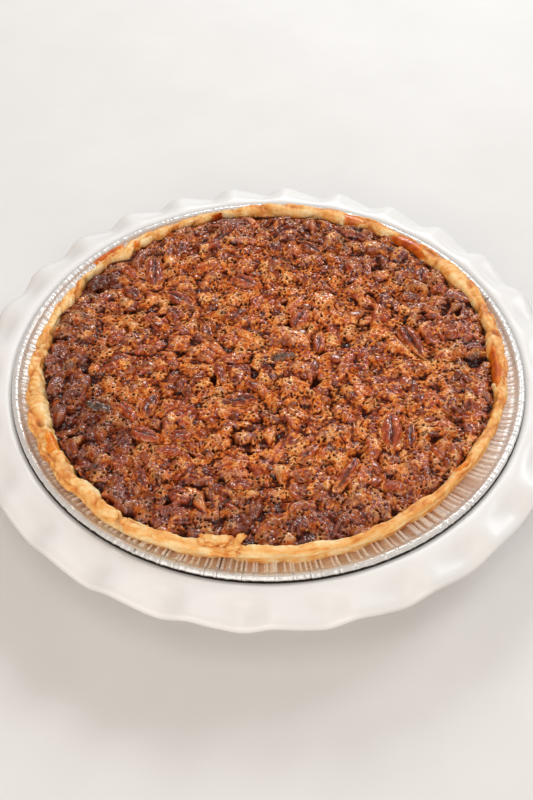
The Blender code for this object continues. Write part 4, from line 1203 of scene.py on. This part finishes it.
def build_filling(finish, fields):
    """Top of the filling in four quarters, each a closed block under an even grid of its quarter
    of the disc, stretched to the crust's inner line."""
    line = np.linspace(0, 1, FILLING_CELLS + 1)
    depth = 14 * MM
    slope_y, slope_x = np.gradient(fields["gleam"], RASTER_STEP)
    quarters = []
    for index, (sign_u, sign_v) in enumerate(((1, 1), (-1, 1), (-1, -1), (1, -1)), start=1):
        u, v = np.meshgrid(line * sign_u, line * sign_v)
        x, y = disc_place(u, v)
        angle = np.arctan2(x, -y)
        reach = np.hypot(x, y)
        radius = reach * (crust_inner(angle) + 0.5 * MM)
        x, y = radius * np.sin(angle), -radius * np.cos(angle)
        height = read_field(fields["height"], x, y)
        top = np.stack([x, y, height], axis=-1)
        low = top.copy()
        squeeze = 1 - 0.06 * smoothstep(0.9, 1.0, reach)
        low[..., 0] *= squeeze
        low[..., 1] *= squeeze
        low[..., 2] = RIM - depth
        side = FILLING_CELLS + 1
        loop = np.concatenate([
            np.arange(side - 1), np.arange(side - 1) * side + side - 1,
            (side - 1) * side + np.arange(side - 1, 0, -1), np.arange(side - 1, 0, -1) * side,
        ])
        after = np.roll(loop, -1)
        size = side * side
        ring = size + np.arange(len(loop))
        ring_after = np.roll(ring, -1)
        flip = sign_u * sign_v < 0
        walls = np.stack([loop, ring, ring_after, after], axis=1)
        centre = size + len(loop)
        floor = np.stack([ring, np.full(len(loop), centre), ring_after], axis=1)
        points = np.vstack([
            top.reshape(-1, 3), low.reshape(-1, 3)[loop],
            [[0.03 * sign_u, 0.03 * sign_v, RIM - depth]],
        ])
        faces = [grid_faces(side, side, flip=flip)]
        faces += [walls[:, ::-1], floor[:, ::-1]] if flip else [walls, floor]
        marks = {}
        for label in ("skin", "tone", "hollow", "crest", "scorch", "wet"):
            values = read_field(fields[label], x, y).ravel()
            marks[label] = np.concatenate([values, np.zeros(len(loop) + 1)])
        slopes = [-read_field(slope, x, y) for slope in (slope_x, slope_y)]
        normals = np.stack([*slopes, np.ones_like(x)], axis=-1).reshape(-1, 3)
        normals /= np.linalg.norm(normals, axis=1, keepdims=True)
        normals = np.vstack([normals, np.zeros((len(loop) + 1, 3))])
        name = f"filling_quarter_{index}"
        node = "filling" if index == 1 else None
        quarters.append(add_piece(name, points, faces, finish, node, marks, normals))
    return quarters


# ---------------------------------------------------------------- pecans

PECAN_ROWS = 56
PECAN_SIDES = 44
GREY_NUTS = ("pecan_27", "pecan_30")
BURNT_NUTS = ("pecan_18",)
ORANGE_NUTS = ("pecan_05", "pecan_19")


def nut_skin(share, turn, broken, seed):
    """Skin of a nut in units of its half sizes.  share runs from -1 to 1 along it and turn goes
    round it from the top.  The half width is (1 - share^2)^power; a half has a deep groove along its
    back, each lobe has rounded ridges that wander, and a broken piece ends in slanting faces."""
    random = np.random.default_rng(seed)
    power = 0.26 if broken else 0.46
    drift = random.uniform(0, TURN, 8)
    full = np.clip(1 - share ** 2, 0, 1) ** power * (1 - 0.14 * share)
    wander = 0.16 * np.sin(2.6 * share + drift[0]) + 0.06 * np.sin(7 * share + drift[1])
    groove = (0.22 if broken else 0.46) * np.exp(-(turn_from(turn, wander) / 0.26) ** 2)
    bent = turn + wander + 0.14 * np.sin(5 * share + drift[2])
    groove = groove + 0.17 * (1 - np.abs(np.sin(3.5 * bent + drift[6]))) ** 2
    knobs = (0.045 * np.sin(9 * share + drift[3] + 2 * turn) + 0.035 * np.sin(15 * share + drift[4] - 3 * turn)
             + 0.045 * np.sin(3 * turn + drift[5] + 1.5 * share))
    along = share
    if broken:
        knobs = knobs * 1.8
        slant = 0.30 * np.sin(turn + drift[6]) + 0.12 * np.sin(2 * turn + drift[7])
        along = share * (1 + slant * np.abs(share) ** 3 * np.sign(share)) / (1 + 0.32 * np.abs(share) ** 3)
    size = full * (1 - groove + knobs)
    bend = 0.10 * np.sin(1.6 * share + drift[7])
    return along, size * np.sin(turn) + bend * full, size * np.cos(turn), groove, drift


def build_pecans(finishes, fields):
    """Each pecan: its skin carried along its own axis, in the space its solid holds."""
    share = -np.cos(np.linspace(0, math.pi, PECAN_ROWS + 2)[1:-1])[:, None]
    turn = (np.arange(PECAN_SIDES) * TURN / PECAN_SIDES)[None, :]
    for index, name in enumerate(PECANS):
        centre, basis, half = pecan_frame(name)
        broken = index >= HALVES
        along, across, up, groove, drift = nut_skin(share, turn, broken, 200 + index)
        local = np.stack(np.broadcast_arrays(along, across, up), axis=-1) * half
        points = centre + local @ basis
        points[..., 2] = np.minimum(points[..., 2], PIE_TOP)
        tips = np.array([centre - half[0] * basis[0], centre + half[0] * basis[0]])
        size = PECAN_ROWS * PECAN_SIDES
        step = np.arange(PECAN_SIDES)
        after = (step + 1) % PECAN_SIDES
        last = (PECAN_ROWS - 1) * PECAN_SIDES
        faces = [
            grid_faces(PECAN_ROWS, PECAN_SIDES, wrap_columns=True),
            np.stack([np.full(PECAN_SIDES, size), after, step], axis=1),
            np.stack([np.full(PECAN_SIDES, size + 1), last + step, last + after], axis=1),
        ]
        ground = read_field(fields["height"], points[..., 0], points[..., 1])
        rise = (points[..., 2] - ground) / MM
        random = np.random.default_rng(500 + index)
        base_tone = random.uniform(0.25, 0.60)
        tone = base_tone + 0.10 * np.sin(6 * share + drift[0]) * np.cos(2 * turn) - 0.5 * groove
        foam = 0.95 * smoothstep(1.3, 0.3, rise + 0.5 * np.sin(7 * share + 3 * turn + drift[1]))
        patch = np.sin(5 * share + drift[2]) * np.cos(2 * turn + drift[3]) + 0.4 * np.sin(13 * share + 5 * turn)
        foam = np.maximum(foam, 0.8 * smoothstep(0.45, 0.9, patch))
        # Painted shade: darker in the groove and low down, where the nut meets the filling.
        hollow = np.clip(1.7 * groove - 0.14, 0, 0.7) + 0.45 * smoothstep(0.6, -0.4, rise)
        if name in BURNT_NUTS:
            tone, foam = tone * 0 + 0.02, foam * 0.1
        elif name in GREY_NUTS:
            tone, foam = tone * 0.2, foam * 0.4
        elif name in ORANGE_NUTS:
            tone = tone + 0.35
        marks = {}
        for label, values in (("tone", tone), ("foam", foam), ("hollow", np.clip(hollow, 0, 0.85))):
            values = np.broadcast_to(values, (PECAN_ROWS, PECAN_SIDES)).ravel()
            marks[label] = np.concatenate([values, values[:1], values[-1:]])
        finish = finishes["grey"] if name in GREY_NUTS else finishes["brown"]
        add_piece(f"{name}_nut", np.vstack([points.reshape(-1, 3), tips]), faces, finish,
                  name, marks)


CHIPS = 170
CHIP_ROWS = 6
CHIP_SIDES = 10


def build_chips(finish, fields):
    """Small broken bits of pecan, joined: blunt little blocks with one grooved side, half sunk in
    the filling at random places and headings, and clear of the whole nuts."""
    random = np.random.default_rng(88)
    size = CHIP_ROWS * CHIP_SIDES + 2
    share = -np.cos(np.linspace(0.0, math.pi, CHIP_ROWS + 2)[1:-1])[:, None]
    turn = (np.arange(CHIP_SIDES) * TURN / CHIP_SIDES)[None, :]
    taken = [pecan_frame(name) for name in PECANS]
    points, marks, faces = [], {"tone": [], "foam": [], "hollow": []}, []
    step = np.arange(CHIP_SIDES)
    after = (step + 1) % CHIP_SIDES
    last = (CHIP_ROWS - 1) * CHIP_SIDES
    while len(points) < CHIPS:
        reach, angle = 103 * MM * math.sqrt(random.random()), random.uniform(0, TURN)
        x, y = reach * math.sin(angle), reach * math.cos(angle)
        if any(math.hypot(x - centre[0], y - centre[1]) < 0.8 * half[0] + 2 * MM for centre, _, half in taken):
            continue
        half = np.array([1.0, random.uniform(0.45, 0.80), random.uniform(0.30, 0.50)])
        half = half * random.uniform(1.6, 3.8) * MM
        drift = random.uniform(0, TURN, 4)
        groove = 0.30 * np.exp(-(turn_from(turn, 0.4 * np.sin(drift[0])) / 0.5) ** 2)
        wide = (1 - share ** 2) ** 0.28 * (1 - groove + 0.10 * np.sin(3 * turn + drift[1] + 2 * share))
        along = share * (1 + 0.22 * np.sin(turn + drift[2]))
        local = np.stack(np.broadcast_arrays(along, wide * np.sin(turn), wide * np.cos(turn)), axis=-1) * half
        local = np.vstack([local.reshape(-1, 3), [[-half[0], 0, 0], [half[0], 0, 0]]])
        heading, pitch, roll = random.uniform(0, TURN), random.normal(0, 0.30), random.normal(0, 0.45)
        basis = Matrix.Rotation(heading, 3, "Z") @ Matrix.Rotation(pitch, 3, "Y") @ Matrix.Rotation(roll, 3, "X")
        place = np.array([x, y, read_field(fields["height"], np.array(x), np.array(y)) - 0.15 * half[2]])
        local = place + local @ np.array(basis).T
        local[:, 2] = np.minimum(local[:, 2], PIE_TOP)
        start = size * len(points)
        faces += [
            grid_faces(CHIP_ROWS, CHIP_SIDES, wrap_columns=True, start=start),
            start + np.stack([np.full(CHIP_SIDES, size - 2), after, step], axis=1),
            start + np.stack([np.full(CHIP_SIDES, size - 1), last + step, last + after], axis=1),
        ]
        points.append(local)
        rise = (local[:, 2] - read_field(fields["height"], local[:, 0], local[:, 1])) / MM
        deep = np.append(np.broadcast_to(groove, (CHIP_ROWS, CHIP_SIDES)).ravel(), (0, 0))
        marks["tone"].append(random.uniform(0.15, 0.55) - 0.5 * deep)
        marks["foam"].append(random.uniform(0.2, 0.9) * smoothstep(1.4, 0.2, rise))
        # Painted shade: darker in the groove and low down, where the bit sinks into the filling.
        marks["hollow"].append(np.clip(1.2 * deep - 0.1, 0, 0.5) + 0.4 * smoothstep(0.5, -0.3, rise))
    marks = {label: np.concatenate(values) for label, values in marks.items()}
    return add_piece("chopped_pecans", np.vstack(points), faces, finish, marks=marks)


# ---------------------------------------------------------------- room

def build_room():
    """Pale floor, soft window light from the back right and a pale, slightly warm room."""
    floor_finish, graph, shader = new_finish("pale_floor", Roughness=0.6)
    graph.put(shader.inputs["Base Color"], graph.ramp(graph.noise(60 * MM, 3.0), (
        (0.3, (0.77, 0.76, 0.75)), (0.7, (0.81, 0.80, 0.79)))))
    half = 3.0
    corners = np.array([[-half, -half, 0], [half, -half, 0], [half, half, 0], [-half, half, 0]])
    mesh = fill_mesh("floor", corners, [np.array([[0, 1, 2, 3]])])
    mesh.materials.append(floor_finish)
    floor = bpy.data.objects.new("floor", mesh)
    bpy.context.collection.objects.link(floor)
    lights = (
        # name, place, size, power, colour
        ("window_light", (1.25, 0.85, 1.00), 0.55, 8.0, (0.84, 0.93, 1.0)),
        ("window_behind", (0.20, 1.50, 1.00), 0.60, 12.5, (0.90, 0.96, 1.0)),
        ("room_fill", (-0.4, -1.6, 0.75), 1.4, 14.5, (1.0, 0.94, 0.88)),
        ("ceiling", (-0.1, -0.5, 1.7), 0.8, 4.2, (1.0, 0.96, 0.92)),
    )
    for name, place, size, power, colour in lights:
        light = bpy.data.lights.new(name, "AREA")
        light.shape = "SQUARE"
        light.size = size
        light.energy = power
        light.color = colour
        holder = bpy.data.objects.new(name, light)
        holder.location = place
        holder.rotation_euler = (Vector((0, 0, 0.03)) - Vector(place)).to_track_quat("-Z", "Y").to_euler()
        bpy.context.collection.objects.link(holder)
    world = bpy.data.worlds.new("pale_room")
    bpy.context.scene.world = world
    world.use_nodes = True
    background = world.node_tree.nodes["Background"]
    background.inputs["Color"].default_value = (1.0, 0.90, 0.81, 1.0)
    background.inputs["Strength"].default_value = 0.48


CAMERA_PITCH = math.radians(48.04)
CAMERA_ROLL = math.radians(-0.53)
CAMERA_PLACE = Vector((-0.0009, -0.4476, 0.4759))
CAMERA_LENS = 61.3


def build_camera():
    """Camera in front of the pie, looking down at it; its place is counted from the rim's middle."""
    forward = Vector((0, math.cos(CAMERA_PITCH), -math.sin(CAMERA_PITCH)))
    level = Vector((1, 0, 0))
    rise = level.cross(forward)
    right = math.cos(CAMERA_ROLL) * level + math.sin(CAMERA_ROLL) * rise
    up = -math.sin(CAMERA_ROLL) * level + math.cos(CAMERA_ROLL) * rise
    data = bpy.data.cameras.new("camera")
    data.lens = CAMERA_LENS
    data.clip_start = 0.01
    camera = bpy.data.objects.new("camera", data)
    turn = Matrix((right, up, -forward)).transposed().to_4x4()
    turn.translation = CAMERA_PLACE + Vector((0, 0, RIM - TIN_BEAD * 0.95))
    camera.matrix_world = turn
    bpy.context.collection.objects.link(camera)
    bpy.context.scene.camera = camera


def build_pie():
    """All pieces of the object."""
    build_dish(glaze_finish())
    foil = foil_finish()
    build_tin(foil)
    build_tin_floor(foil)
    build_crust(crust_finish())
    syrup = syrup_finish()
    build_syrup(syrup)
    build_stain(syrup)
    build_flakes(bpy.data.materials["golden_crust"])
    fields = build_fields()
    build_filling(filling_finish(), fields)
    finishes = {
        "brown": nut_finish("toasted_nut", SKIN_STOPS),
        "grey": nut_finish("grey_nut", ((0.0, (0.05, 0.032, 0.022)), (0.5, (0.20, 0.125, 0.080)),
                                        (1.0, (0.40, 0.26, 0.16)))),
    }
    build_pecans(finishes, fields)
    build_chips(finishes["brown"], fields)


build_pie()
build_room()
build_camera()
bpy.context.scene.view_settings.view_transform = "Standard"
